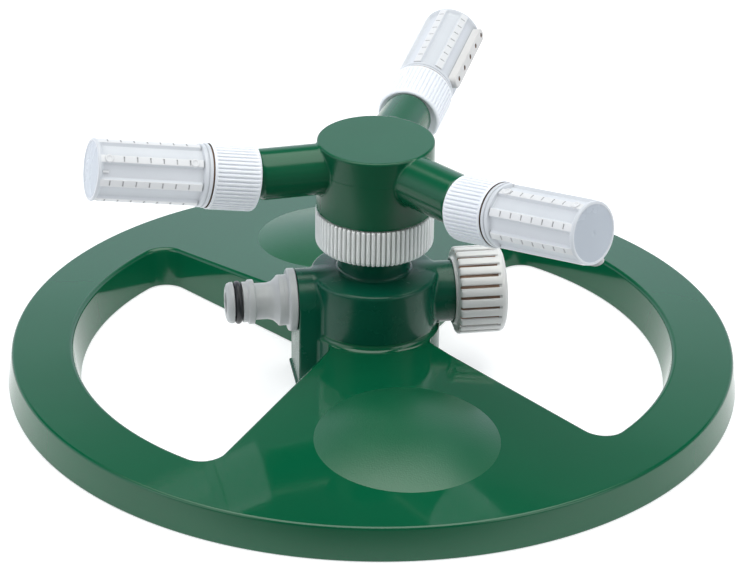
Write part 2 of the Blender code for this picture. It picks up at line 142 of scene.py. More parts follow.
def rounded(points, radii, steps=5):
    """Polyline of (u, v) points with each inner corner turned into an arc of its radius."""
    if np.isscalar(radii):
        radii = [radii] * len(points)
    out = []
    for k, (p, rad) in enumerate(zip(points, radii)):
        p = np.array(p, float)
        if k == 0 or k == len(points) - 1 or rad <= 0:
            out.append(tuple(p))
            continue
        a, b = unit(np.array(points[k - 1]) - p), unit(np.array(points[k + 1]) - p)
        cos_t = float(np.clip(a @ b, -1, 1))
        theta = math.acos(cos_t)
        if theta > math.pi - 0.02 or theta < 0.02:
            out.append(tuple(p))
            continue
        room = 0.48 * min(np.linalg.norm(np.array(points[k - 1]) - p), np.linalg.norm(np.array(points[k + 1]) - p))
        length = min(rad / math.tan(theta / 2), room)
        rad = length * math.tan(theta / 2)
        centre = p + unit(a + b) * rad / math.sin(theta / 2)
        t0, t1 = p + a * length - centre, p + b * length - centre
        swing = math.pi - theta
        count = max(2, int(math.ceil(steps * swing / 1.57)))
        for i in range(count + 1):
            w = i / count
            v = (math.sin((1 - w) * swing) * t0 + math.sin(w * swing) * t1) / math.sin(swing)
            out.append(tuple(centre + v))
    return out


def grid(name, rings, mats, angle=32.0, cap_first=False, cap_last=False, close_profile=False, ring_mats=None, cell_mat=None):
    """Skin an array of rings, shape (rings, points, 3)."""
    P = np.asarray(rings, float)
    R, N = P.shape[:2]
    faces, fm = [], []
    for a in range(R if close_profile else R - 1):
        b = (a + 1) % R
        for i in range(N):
            j = (i + 1) % N
            faces.append((a * N + i, a * N + j, b * N + j, b * N + i))
            kind = 0 if ring_mats is None else ring_mats[a]
            fm.append(cell_mat(a, i) if cell_mat else kind)
    if cap_first:
        faces.append(tuple(range(N))[::-1])
        fm.append(0 if ring_mats is None else ring_mats[0])
    if cap_last:
        faces.append(tuple((R - 1) * N + i for i in range(N)))
        fm.append(0 if ring_mats is None else ring_mats[-1])
    ob = from_arrays(name, P.reshape(-1, 3), faces, mats, fm)
    bm = bmesh.new()
    bm.from_mesh(ob.data)
    bmesh.ops.remove_doubles(bm, verts=bm.verts, dist=2e-7)
    bmesh.ops.recalc_face_normals(bm, faces=bm.faces)
    bm.to_mesh(ob.data)
    bm.free()
    ob.data.set_sharp_from_angle(angle=math.radians(angle))
    return ob


def knurl(count, rib, slope, depth, phase=0.0):
    """Angles round one turn and how deep each lies in a groove; rib and slope are shares of a pitch."""
    pattern = [(-rib / 2, 0.10), (-rib / 2 + 0.07, 0.0), (0.0, -0.02), (rib / 2 - 0.07, 0.0), (rib / 2, 0.10), (rib / 2 + slope * 0.55, 0.62),
               (rib / 2 + slope, 0.97), (0.5, 1.0), (1 - rib / 2 - slope, 0.97), (1 - rib / 2 - slope * 0.55, 0.62)]
    rows = [((k + f + phase) / count * math.tau, d * depth) for k in range(count) for f, d in pattern]
    return np.array([r[0] for r in rows]), np.array([r[1] for r in rows])


def lathe(name, profile, segments, mats, axis="z", angle=32.0, closed=True, ribs=None, groove_shade_mat=None, row_mats=None):
    """Turn a profile of (radius, height[, share of groove depth]) rows; row_mats maps a profile step to a material."""
    if ribs is None:
        theta, cut = np.arange(segments) / segments * math.tau, np.zeros(segments)
    else:
        theta, cut = ribs
    rows = []
    for p in profile:
        w = p[2] if len(p) > 2 else 0.0
        rad = float(p[0]) - w * cut
        rows.append(np.stack([rad * np.cos(theta), rad * np.sin(theta), np.full(len(theta), float(p[1]))], -1))
    P = np.stack(rows)
    if axis == "x":
        P = np.stack([P[..., 2], P[..., 0], P[..., 1]], -1) + np.array([0, 0, PIPE_Z])
    cell = None
    if row_mats is not None:
        def cell(a, i):
            return row_mats.get(a, 0)
    # painted shade: faces deep in the grooves take a darker material
    if groove_shade_mat is not None:
        deep = cut > 0.5 * cut.max()
        weight = [p[2] if len(p) > 2 else 0.0 for p in profile]

        def cell(a, i):
            b, j = (a + 1) % len(profile), (i + 1) % len(theta)
            return groove_shade_mat if deep[i] and deep[j] and min(weight[a], weight[b]) > 0.55 else 0
    first_axis = not closed and profile[0][0] < 1e-6
    last_axis = not closed and profile[-1][0] < 1e-6
    return grid(name, P, mats, angle, cap_first=not closed and not first_axis, cap_last=not closed and not last_axis,
                close_profile=closed, cell_mat=cell)


def bool_apply(ob, cutters, operation="DIFFERENCE", angle=32.0):
    for c in cutters:
        mod = ob.modifiers.new("b", "BOOLEAN")
        mod.operation = operation
        mod.solver = "EXACT"
        mod.object = c
    bpy.context.view_layer.update()
    dg = bpy.context.evaluated_depsgraph_get()
    mesh = bpy.data.meshes.new_from_object(ob.evaluated_get(dg))
    ob.modifiers.clear()
    old = ob.data
    ob.data = mesh
    mesh.name = ob.name
    bpy.data.meshes.remove(old)
    for c in cutters:
        bpy.data.objects.remove(c)
    ob.data.shade_smooth()
    ob.data.set_sharp_from_angle(angle=math.radians(angle))
    return ob


# ------------------------------------------------------------------ meshing of a distance field

def round_or(a, b, r):
    return np.maximum(r, np.minimum(a, b)) - np.hypot(np.maximum(r - a, 0), np.maximum(r - b, 0))


def round_and(a, b, r):
    return np.minimum(-r, np.maximum(a, b)) + np.hypot(np.maximum(r + a, 0), np.maximum(r + b, 0))


def field_mesh(name, f, lo, hi, step, mats, mat_of=None):
    """Closed smooth mesh of f = 0 in millimetres, its corner normals taken from the field itself."""
    lo, hi = np.array(lo, float), np.array(hi, float)
    n = np.ceil((hi - lo) / step).astype(int) + 1
    ax = [lo[k] + step * np.arange(n[k]) for k in range(3)]
    Y, Z = np.meshgrid(ax[1], ax[2], indexing="ij")
    vals = np.empty(tuple(n), np.float32)
    for i in range(n[0]):
        vals[i] = f(np.stack([np.full_like(Y, ax[0][i]), Y, Z], -1))
    inside = vals < 0
    total = np.zeros(tuple(n - 1), np.int8)
    for dx in (0, 1):
        for dy in (0, 1):
            for dz in (0, 1):
                total += inside[dx:n[0] - 1 + dx, dy:n[1] - 1 + dy, dz:n[2] - 1 + dz]
    active = (total > 0) & (total < 8)
    index = np.full(active.shape, -1, np.int64)
    cells = np.argwhere(active)
    index[active] = np.arange(len(cells))
    pos, cnt = np.zeros((len(cells), 3)), np.zeros(len(cells))
    corners = [np.array(c) for c in ((0, 0, 0), (1, 0, 0), (0, 1, 0), (1, 1, 0), (0, 0, 1), (1, 0, 1), (0, 1, 1), (1, 1, 1))]
    for a in range(8):
        for axis in range(3):
            if corners[a][axis]:
                continue
            step_to = np.zeros(3, int)
            step_to[axis] = 1
            ca, cb = cells + corners[a], cells + corners[a] + step_to
            va, vb = vals[tuple(ca.T)].astype(float), vals[tuple(cb.T)].astype(float)
            cross = (va < 0) != (vb < 0)
            t = np.where(cross, va / np.where(cross, va - vb, 1.0), 0.0)
            pos[cross] += (corners[a] + t[:, None] * step_to)[cross]
            cnt += cross
    pts = lo + step * (cells + pos / cnt[:, None])
    e = 0.02

    def grad(p):
        g = np.empty_like(p)
        for k in range(3):
            d = np.zeros(3)
            d[k] = e
            g[:, k] = (f(p + d) - f(p - d)) / (2 * e)
        return g
    for _ in range(3):
        g = grad(pts)
        move = f(pts)[:, None] * g / np.maximum((g * g).sum(1), 0.2)[:, None]
        far = np.linalg.norm(move, axis=1, keepdims=True)
        pts -= move * np.minimum(1.0, 0.35 * step / np.maximum(far, 1e-9))
    normals = unit(grad(pts))
    quads = []
    for axis in range(3):
        b, c = [k for k in range(3) if k != axis]
        lo_s, hi_s = [slice(1, -1)] * 3, [slice(1, -1)] * 3
        lo_s[axis], hi_s[axis] = slice(0, -1), slice(1, None)
        change = inside[tuple(lo_s)] != inside[tuple(hi_s)]
        where = np.argwhere(change)
        p = where + 1
        p[:, axis] -= 1
        eb, ec = np.zeros(3, int), np.zeros(3, int)
        eb[b], ec[c] = 1, 1
        q = np.stack([index[tuple(p.T)], index[tuple((p - eb).T)], index[tuple((p - eb - ec).T)], index[tuple((p - ec).T)]], -1)
        quads.append(q[(q >= 0).all(1)])
    quads = np.concatenate(quads)
    # every quad faces the way the field climbs
    a, b_, c_, d_ = (pts[quads[:, k]] for k in range(4))
    geo = np.cross(c_ - a, d_ - b_)
    wrong = (geo * normals[quads].sum(1)).sum(1) < 0
    quads[wrong] = quads[wrong][:, ::-1]
    fm = None if mat_of is None else mat_of(pts[quads].mean(1))
    return from_arrays(name, pts, quads.tolist(), mats, fm, normals[quads.reshape(-1)])


# ================================================================== materials

def node(nt, kind, **inputs):
    n = nt.nodes.new("ShaderNode" + kind)
    for k, v in inputs.items():
        if hasattr(n, k) and k not in ("Scale",):
            setattr(n, k, v)
        else:
            n.inputs[k].default_value = v
    return n


def plastic(name, light, dark, rough, blotch=22.0, grain=900.0, grain_depth=0.00002, rough_var=0.05, specular=0.5,
            line=None, line_from=None, wave=None, coat=0.0, sub=0.0, sub_radius=0.002, strength=1.0, painted_glow=0.0):
    """Moulded plastic: two near tones in soft blotches, fine grain, uneven gloss, and an optional parting line.

    line is (axis, height, width, depth) in metres of a fine raised line left by the mould; line_from keeps it beyond that x."""
    mat = bpy.data.materials.new(name)
    mat.use_nodes = True
    nt = mat.node_tree
    bsdf = nt.nodes["Principled BSDF"]
    link = nt.links.new
    where = nt.nodes.new("ShaderNodeTexCoord")

    soft = nt.nodes.new("ShaderNodeTexNoise")
    soft.inputs["Scale"].default_value = blotch
    soft.inputs["Detail"].default_value = 3.0
    link(where.outputs["Object"], soft.inputs["Vector"])
    ramp = nt.nodes.new("ShaderNodeValToRGB")
    ramp.color_ramp.elements[0].position, ramp.color_ramp.elements[1].position = 0.32, 0.70
    ramp.color_ramp.elements[0].color, ramp.color_ramp.elements[1].color = (*dark, 1), (*light, 1)
    link(soft.outputs["Fac"], ramp.inputs["Fac"])
    link(ramp.outputs["Color"], bsdf.inputs["Base Color"])

    fine = nt.nodes.new("ShaderNodeTexNoise")
    fine.inputs["Scale"].default_value = grain
    fine.inputs["Detail"].default_value = 2.0
    link(where.outputs["Object"], fine.inputs["Vector"])
    wear = nt.nodes.new("ShaderNodeTexNoise")
    wear.inputs["Scale"].default_value = 60.0
    wear.inputs["Detail"].default_value = 5.0
    link(where.outputs["Object"], wear.inputs["Vector"])
    spread = nt.nodes.new("ShaderNodeMapRange")
    spread.inputs["From Min"].default_value, spread.inputs["From Max"].default_value = 0.3, 0.7
    spread.inputs["To Min"].default_value, spread.inputs["To Max"].default_value = rough - rough_var, rough + rough_var
    link(wear.outputs["Fac"], spread.inputs["Value"])
    link(spread.outputs["Result"], bsdf.inputs["Roughness"])

    bump = nt.nodes.new("ShaderNodeBump")
    bump.inputs["Strength"].default_value = strength
    bump.inputs["Distance"].default_value = grain_depth
    link(fine.outputs["Fac"], bump.inputs["Height"])
    last = bump
    if wave is not None:
        slow = nt.nodes.new("ShaderNodeTexNoise")
        slow.inputs["Scale"].default_value = wave[0]
        slow.inputs["Detail"].default_value = 2.0
        link(where.outputs["Object"], slow.inputs["Vector"])
        swell = nt.nodes.new("ShaderNodeBump")
        swell.inputs["Strength"].default_value = 1.0
        swell.inputs["Distance"].default_value = wave[1]
        link(slow.outputs["Fac"], swell.inputs["Height"])
        link(bump.outputs["Normal"], swell.inputs["Normal"])
        last = swell
    if line is not None:
        axis, height, width, depth = line
        split = nt.nodes.new("ShaderNodeSeparateXYZ")
        link(where.outputs["Object"], split.inputs["Vector"])
        off = nt.nodes.new("ShaderNodeMath")
        off.operation = "SUBTRACT"
        off.inputs[1].default_value = height
        link(split.outputs[axis], off.inputs[0])
        dist = nt.nodes.new("ShaderNodeMath")
        dist.operation = "ABSOLUTE"
        link(off.outputs["Value"], dist.inputs[0])
        ridge = nt.nodes.new("ShaderNodeMapRange")
        ridge.interpolation_type = "SMOOTHSTEP"
        ridge.inputs["From Min"].default_value, ridge.inputs["From Max"].default_value = 0.0, width
        ridge.inputs["To Min"].default_value, ridge.inputs["To Max"].default_value = 1.0, 0.0
        link(dist.outputs["Value"], ridge.inputs["Value"])
        seam = ridge.outputs["Result"]
        if line_from is not None:
            past = nt.nodes.new("ShaderNodeMath")
            past.operation = "GREATER_THAN"
            past.inputs[1].default_value = line_from
            link(split.outputs[0], past.inputs[0])
            both = nt.nodes.new("ShaderNodeMath")
            both.operation = "MULTIPLY"
            link(past.outputs["Value"], both.inputs[0])
            link(seam, both.inputs[1])
            seam = both.outputs["Value"]
        second = nt.nodes.new("ShaderNodeBump")
        second.inputs["Strength"].default_value = 1.0
        second.inputs["Distance"].default_value = depth
        link(seam, second.inputs["Height"])
        link(last.outputs["Normal"], second.inputs["Normal"])
        last = second
    link(last.outputs["Normal"], bsdf.inputs["Normal"])
    bsdf.inputs["Specular IOR Level"].default_value = specular
    if coat:
        bsdf.inputs["Coat Weight"].default_value = coat
        bsdf.inputs["Coat Roughness"].default_value = 0.06
    if sub:
        bsdf.inputs["Subsurface Weight"].default_value = sub
        bsdf.inputs["Subsurface Radius"].default_value = (1.0, 0.9, 0.8)
        bsdf.inputs["Subsurface Scale"].default_value = sub_radius
    if painted_glow:
        # painted glow: the pale plastic emits its own colour to lift its shaded side, less so in its corners (ambient
        # occlusion)
        link(ramp.outputs["Color"], bsdf.inputs["Emission Color"])
        nook = nt.nodes.new("ShaderNodeAmbientOcclusion")
        nook.samples = 6
        nook.inputs["Distance"].default_value = 0.0025
        lift = nt.nodes.new("ShaderNodeMapRange")
        lift.inputs["From Min"].default_value, lift.inputs["From Max"].default_value = 0.25, 0.95
        lift.inputs["To Min"].default_value, lift.inputs["To Max"].default_value = 0.15 * painted_glow, painted_glow
        link(nook.outputs["AO"], lift.inputs["Value"])
        link(lift.outputs["Result"], bsdf.inputs["Emission Strength"])
    return mat


MAT_GLOSS = plastic("stand_gloss_green", (0.0026, 0.096, 0.0420), (0.0018, 0.088, 0.0380), 0.075, blotch=16.0, grain=420.0,
                    grain_depth=0.000004, rough_var=0.03, wave=(26.0, 0.00005))
MAT_HOUSING = plastic("housing_gloss_green", (0.0020, 0.092, 0.052), (0.0014, 0.080, 0.045), 0.25, blotch=30.0, grain=420.0,
                      grain_depth=0.000010, rough_var=0.06, specular=0.36, wave=(95.0, 0.00016), line=(2, 0.032, 0.00020, 0.00004), line_from=0.025)
MAT_PAD = plastic("pad_matt_green", (0.0030, 0.104, 0.045), (0.0020, 0.094, 0.040), 0.31, blotch=30.0, grain=1700.0,
                  grain_depth=0.00007, rough_var=0.02, specular=0.60)
MAT_HUB = plastic("hub_satin_green", (0.0050, 0.108, 0.050), (0.0036, 0.096, 0.044), 0.18, blotch=28.0, grain=700.0,
                  grain_depth=0.000008, rough_var=0.03, specular=0.36, line=(2, ARM_Z * MM, 0.0002, 0.00003))
MAT_SPINDLE = plastic("spindle_gloss_green", (0.0020, 0.078, 0.046), (0.0014, 0.068, 0.040), 0.12, blotch=40.0, grain=600.0,
                      grain_depth=0.000005, rough_var=0.03, specular=0.40)
MAT_GREY = plastic("fitting_warm_grey", (0.535, 0.555, 0.57), (0.50, 0.52, 0.53), 0.34, blotch=60.0, grain=900.0,
                   grain_depth=0.000008, rough_var=0.05)
# the ring nut, union nut, barrel and rib plastics carry a painted glow (painted_glow) that lifts their shaded sides
MAT_HUBNUT = plastic("ring_nut_grey", (0.92, 0.94, 0.95), (0.88, 0.895, 0.905), 0.36, blotch=60.0, grain=900.0,
                     grain_depth=0.000008, rough_var=0.05, painted_glow=0.08)
# painted shade: a darker grey copy of the nut plastic for its groove floors, where shade falls
MAT_HUBNUT_GROOVE_SHADE = plastic("ring_nut_grooves_painted_shade", (0.70, 0.705, 0.70), (0.62, 0.62, 0.61), 0.45, blotch=60.0, grain=900.0,
                         grain_depth=0.000008, rough_var=0.05)
MAT_CAP = plastic("cap_warm_grey", (0.72, 0.73, 0.74), (0.68, 0.685, 0.685), 0.34, blotch=60.0, grain=900.0,
                  grain_depth=0.000008, rough_var=0.05)
MAT_NUT = plastic("union_nut_white", (0.72, 0.75, 0.805), (0.695, 0.725, 0.78), 0.36, blotch=60.0, grain=900.0,
                  grain_depth=0.000006, rough_var=0.05, painted_glow=0.29)
MAT_BARREL = plastic("barrel_pale_white", (0.35, 0.370, 0.398), (0.333, 0.352, 0.380), 0.36, blotch=70.0, grain=900.0,
                     grain_depth=0.000008, rough_var=0.05, painted_glow=1.0)
# painted light: a lighter, more glowing copy of the barrel plastic for the rib crowns, pins and dash, as if more lit
MAT_RIB_PAINTED_LIGHT = plastic("barrel_rib_painted_light_white", (0.385, 0.395, 0.41), (0.368, 0.378, 0.393), 0.36, blotch=70.0, grain=900.0,
                  grain_depth=0.000008, rough_var=0.05, painted_glow=1.08)
MAT_DISC = plastic("end_disc_bluish", (0.58, 0.645, 0.735), (0.555, 0.62, 0.71), 0.26, blotch=60.0, grain=500.0,
                   grain_depth=0.000006, rough_var=0.04)
MAT_BAR = plastic("jet_bar_warm_white", (0.70, 0.695, 0.705), (0.67, 0.665, 0.675), 0.36, blotch=90.0, grain=900.0,
                  grain_depth=0.000008, rough_var=0.05)
MAT_BLACK = plastic("seal_black_rubber", (0.022, 0.024, 0.028), (0.014, 0.015, 0.018), 0.34, blotch=200.0, grain=1500.0,
                    grain_depth=0.00002, rough_var=0.06)
MAT_SLIP = plastic("slip_ring_natural", (0.66, 0.64, 0.58), (0.60, 0.58, 0.52), 0.35, blotch=120.0, grain=900.0,
                   grain_depth=0.00001, rough_var=0.05)
# brown grime with painted shade: dark brown laid into the cap grooves, the gap between union nut and barrel, and the
# jet holes, where shade falls
MAT_GRIME_AND_SHADE = plastic("groove_grime_and_painted_shade", (0.34, 0.215, 0.145), (0.18, 0.115, 0.078), 0.60, blotch=160.0, grain=900.0,
                    grain_depth=0.00003, rough_var=0.08)


# ================================================================== the stand

def cone_z(r):
    return EDGE_Z + CONE_SLOPE * (EDGE_R - r)


def top_surface(x, y, pad=0, flare=True):
    """Height of the stand's top and its two slopes; pad is -1 in the front pad, 1 in the rear pad."""
    x, y = np.asarray(x, float), np.asarray(y, float)
    r = np.maximum(np.hypot(x, y), 1e-6)
    z, dr = cone_z(r), np.full_like(r, -CONE_SLOPE)
    if flare:
        t = np.clip(HOUSING_R + FLARE_R - r, 0.0, FLARE_R * 0.9995)
        root = np.sqrt(FLARE_R ** 2 - t ** 2)
        z = z + FLARE_R - root
        dr = dr - t / root
    gx, gy = dr * x / r, dr * y / r
    if pad:
        ball = (PAD_R ** 2 + PAD_RISE ** 2) / (2 * PAD_RISE)
        px, py = x, y - pad * PAD_Y
        rho2 = np.minimum(px ** 2 + py ** 2, PAD_R ** 2)
        root = np.sqrt(ball ** 2 - rho2)
        z = z + root - ball + PAD_RISE
        gx, gy = gx - px / root, gy - py / root
    return z, gx, gy


def corner_arc(a, wall_r, corner, outer, steps):
    r_centre = wall_r - corner if outer else wall_r + corner
    a_in = a + corner * math.hypot(1.0, SPOKE_B)
    qa, qb, qc = 1 + SPOKE_B ** 2, 2 * a_in * SPOKE_B, a_in ** 2 - r_centre ** 2
    yc = (-qb + math.sqrt(qb * qb - 4 * qa * qc)) / (2 * qa)
    xc = a_in + SPOKE_B * yc
    start = math.degrees(math.atan2(SPOKE_B, -1.0))
    end = math.degrees(math.atan2(yc, xc)) + (0.0 if outer else 180.0)
    return [(xc + corner * math.cos(math.radians(t)), yc + corner * math.sin(math.radians(t)))
            for t in [start + (end - start) * i / steps for i in range(steps + 1)]]


def opening_outline(side, offset, z, edge_steps=26):
    """Outline of one opening at height z, its walls moved by offset into the plastic."""
    t = z / 16.0
    a = SPOKE_A_LOW + (SPOKE_A_TOP - SPOKE_A_LOW) * t - offset * math.hypot(1.0, SPOKE_B)
    r_far = OPEN_R_LOW + (OPEN_R_TOP - OPEN_R_LOW) * t + offset
    r_near = OPEN_R_NEAR - offset
    outer = corner_arc(a, r_far, OPEN_CORNER_R + offset, True, 18)
    inner = corner_arc(a, r_near, OPEN_NEAR_CORNER_R + offset, False, 10)
    edge = [tuple(np.array(inner[0]) + (np.array(outer[0]) - np.array(inner[0])) * i / edge_steps)
            for i in range(1, edge_steps)]
    half_far = math.atan2(outer[-1][1], outer[-1][0])
    half_near = math.atan2(inner[-1][1], inner[-1][0])
    far = [(r_far * math.cos(q), r_far * math.sin(q)) for q in [half_far - 2 * half_far * i / 72 for i in range(1, 72)]]
    near = [(r_near * math.cos(q), r_near * math.sin(q)) for q in [-half_near + 2 * half_near * i / 22 for i in range(1, 22)]]
    down = [(x, -y) for x, y in reversed(outer)] + [(x, -y) for x, y in reversed(edge)] + [(x, -y) for x, y in inner]
    pts = list(reversed(inner)) + edge + outer + far + down + near
    return np.array([(side * x, y) for x, y in pts])


def in_polygon(px, py, poly):
    inside = np.zeros(np.shape(px), bool)
    n = len(poly)
    for i in range(n):
        x0, y0 = poly[i]
        x1, y1 = poly[(i + 1) % n]
        hit = ((y0 > py) != (y1 > py)) & (px < (x1 - x0) * (py - y0) / (y1 - y0 + 1e-30) + x0)
        inside ^= hit
    return inside


def circle(r, n, cx=0.0, cy=0.0, phase=0.0):
    t = np.arange(n) / n * math.tau + phase
    return np.stack([cx + r * np.cos(t), cy + r * np.sin(t)], -1)


def triangulate(loops, seeds, keep, extra_edges=()):
    """Triangles over the region that keep(x, y) accepts, with the loops as fixed edges."""
    pts, edges = [], []
    for loop in loops:
        base = len(pts)
        pts += [tuple(p) for p in loop]
        edges += [(base + i, base + (i + 1) % len(loop)) for i in range(len(loop))]
    for pa, pb in extra_edges:
        edges.append((len(pts), len(pts) + 1))
        pts += [tuple(pa), tuple(pb)]
    every = np.array(pts)
    if len(seeds):
        seeds = np.asarray(seeds)
        near = np.full(len(seeds), 1e9)
        for k in range(0, len(every), 400):
            d = np.hypot(seeds[:, None, 0] - every[None, k:k + 400, 0], seeds[:, None, 1] - every[None, k:k + 400, 1]).min(1)
            near = np.minimum(near, d)
        seeds = seeds[(near > 0.9) & keep(seeds[:, 0], seeds[:, 1])]
        pts += [tuple(p) for p in seeds]
    out, _, tris, origin, _, _ = delaunay_2d_cdt([Vector(p) for p in pts], edges, [], 0, 1e-5)
    P = np.array([(v.x, v.y) for v in out])
    src = np.array(pts)
    for i, o in enumerate(origin):
        if o:
            P[i] = src[o[0]]
    tris = [t for t in tris if len(t) == 3]
    T = np.array(tris)
    c = P[T].mean(1)
    T = T[keep(c[:, 0], c[:, 1])]
    area = np.cross(P[T[:, 1]] - P[T[:, 0]], P[T[:, 2]] - P[T[:, 0]])
    T[area < 0] = T[area < 0][:, ::-1]
    return P, T[np.abs(area) > 1e-7]


def edge_strip(shell, side):
    """Rounded top edge, wall and rounded foot of one opening. Returns the top and bottom loops."""
    p0, p16 = opening_outline(side, 0.0, 0.0), opening_outline(side, 0.0, 16.0)
    n = len(p0)
    slope = (p16 - p0) / 16.0
    z = np.full(n, 15.0)
    for _ in range(12):
        p = p0 + slope * z[:, None]
        z = top_surface(p[:, 0], p[:, 1])[0]
    p = p0 + slope * z[:, None]
    tangent = unit(np.roll(p, -1, 0) - np.roll(p, 1, 0))
    normal = np.stack([tangent[:, 1], -tangent[:, 0]], -1)
    x, y = p[:, 0], p[:, 1]
    area = 0.5 * np.sum(x * np.roll(y, -1) - np.roll(x, -1) * y)
    if area > 0:
        normal = -normal                      # towards the opening's middle
    _, gx, gy = top_surface(x, y)
    down_n = gx * normal[:, 0] + gy * normal[:, 1]
    u1 = unit(np.stack([-normal[:, 0], -normal[:, 1], -down_n], -1))
    u2 = unit(np.stack([-slope[:, 0], -slope[:, 1], -np.ones(n)], -1))
    r = np.hypot(x, y)
    rho = 0.75 + 0.95 * np.clip((r - 26.0) / 10.0, 0, 1)
    cos_t = (u1 * u2).sum(1)
    theta = np.arccos(np.clip(cos_t, -1, 1))
    reach = rho / np.tan(theta / 2)
    corner = np.stack([x, y, z], -1)
    centre = corner + unit(u1 + u2) * (rho / np.sin(theta / 2))[:, None]
    t1, t2 = corner + u1 * reach[:, None] - centre, corner + u2 * reach[:, None] - centre
    swing = np.pi - theta
    rings, normals = [], []
    for i in range(8):
        w = i / 7
        v = (np.sin((1 - w) * swing)[:, None] * t1 + np.sin(w * swing)[:, None] * t2) / np.sin(swing)[:, None]
        rings.append(centre + v)
        normals.append(unit(v))
    wall_n = normals[-1]
    last = rings[-1]
    for h in (9.0, 4.0, 0.5):
        pw = p0 + slope * h
        rings.append(np.column_stack([pw, np.full(n, h)]))
        normals.append(wall_n)
    mid = p0 - normal * 0.12
    rings.append(np.column_stack([mid, np.full(n, 0.12)]))
    normals.append(unit(wall_n + np.array([0, 0, -0.9])))
    foot = p0 - normal * 0.45
    rings.append(np.column_stack([foot, np.zeros(n)]))
    normals.append(np.tile([0.0, 0.0, -1.0], (n, 1)))
    shell.strip(rings, normals)
    return rings[0], foot


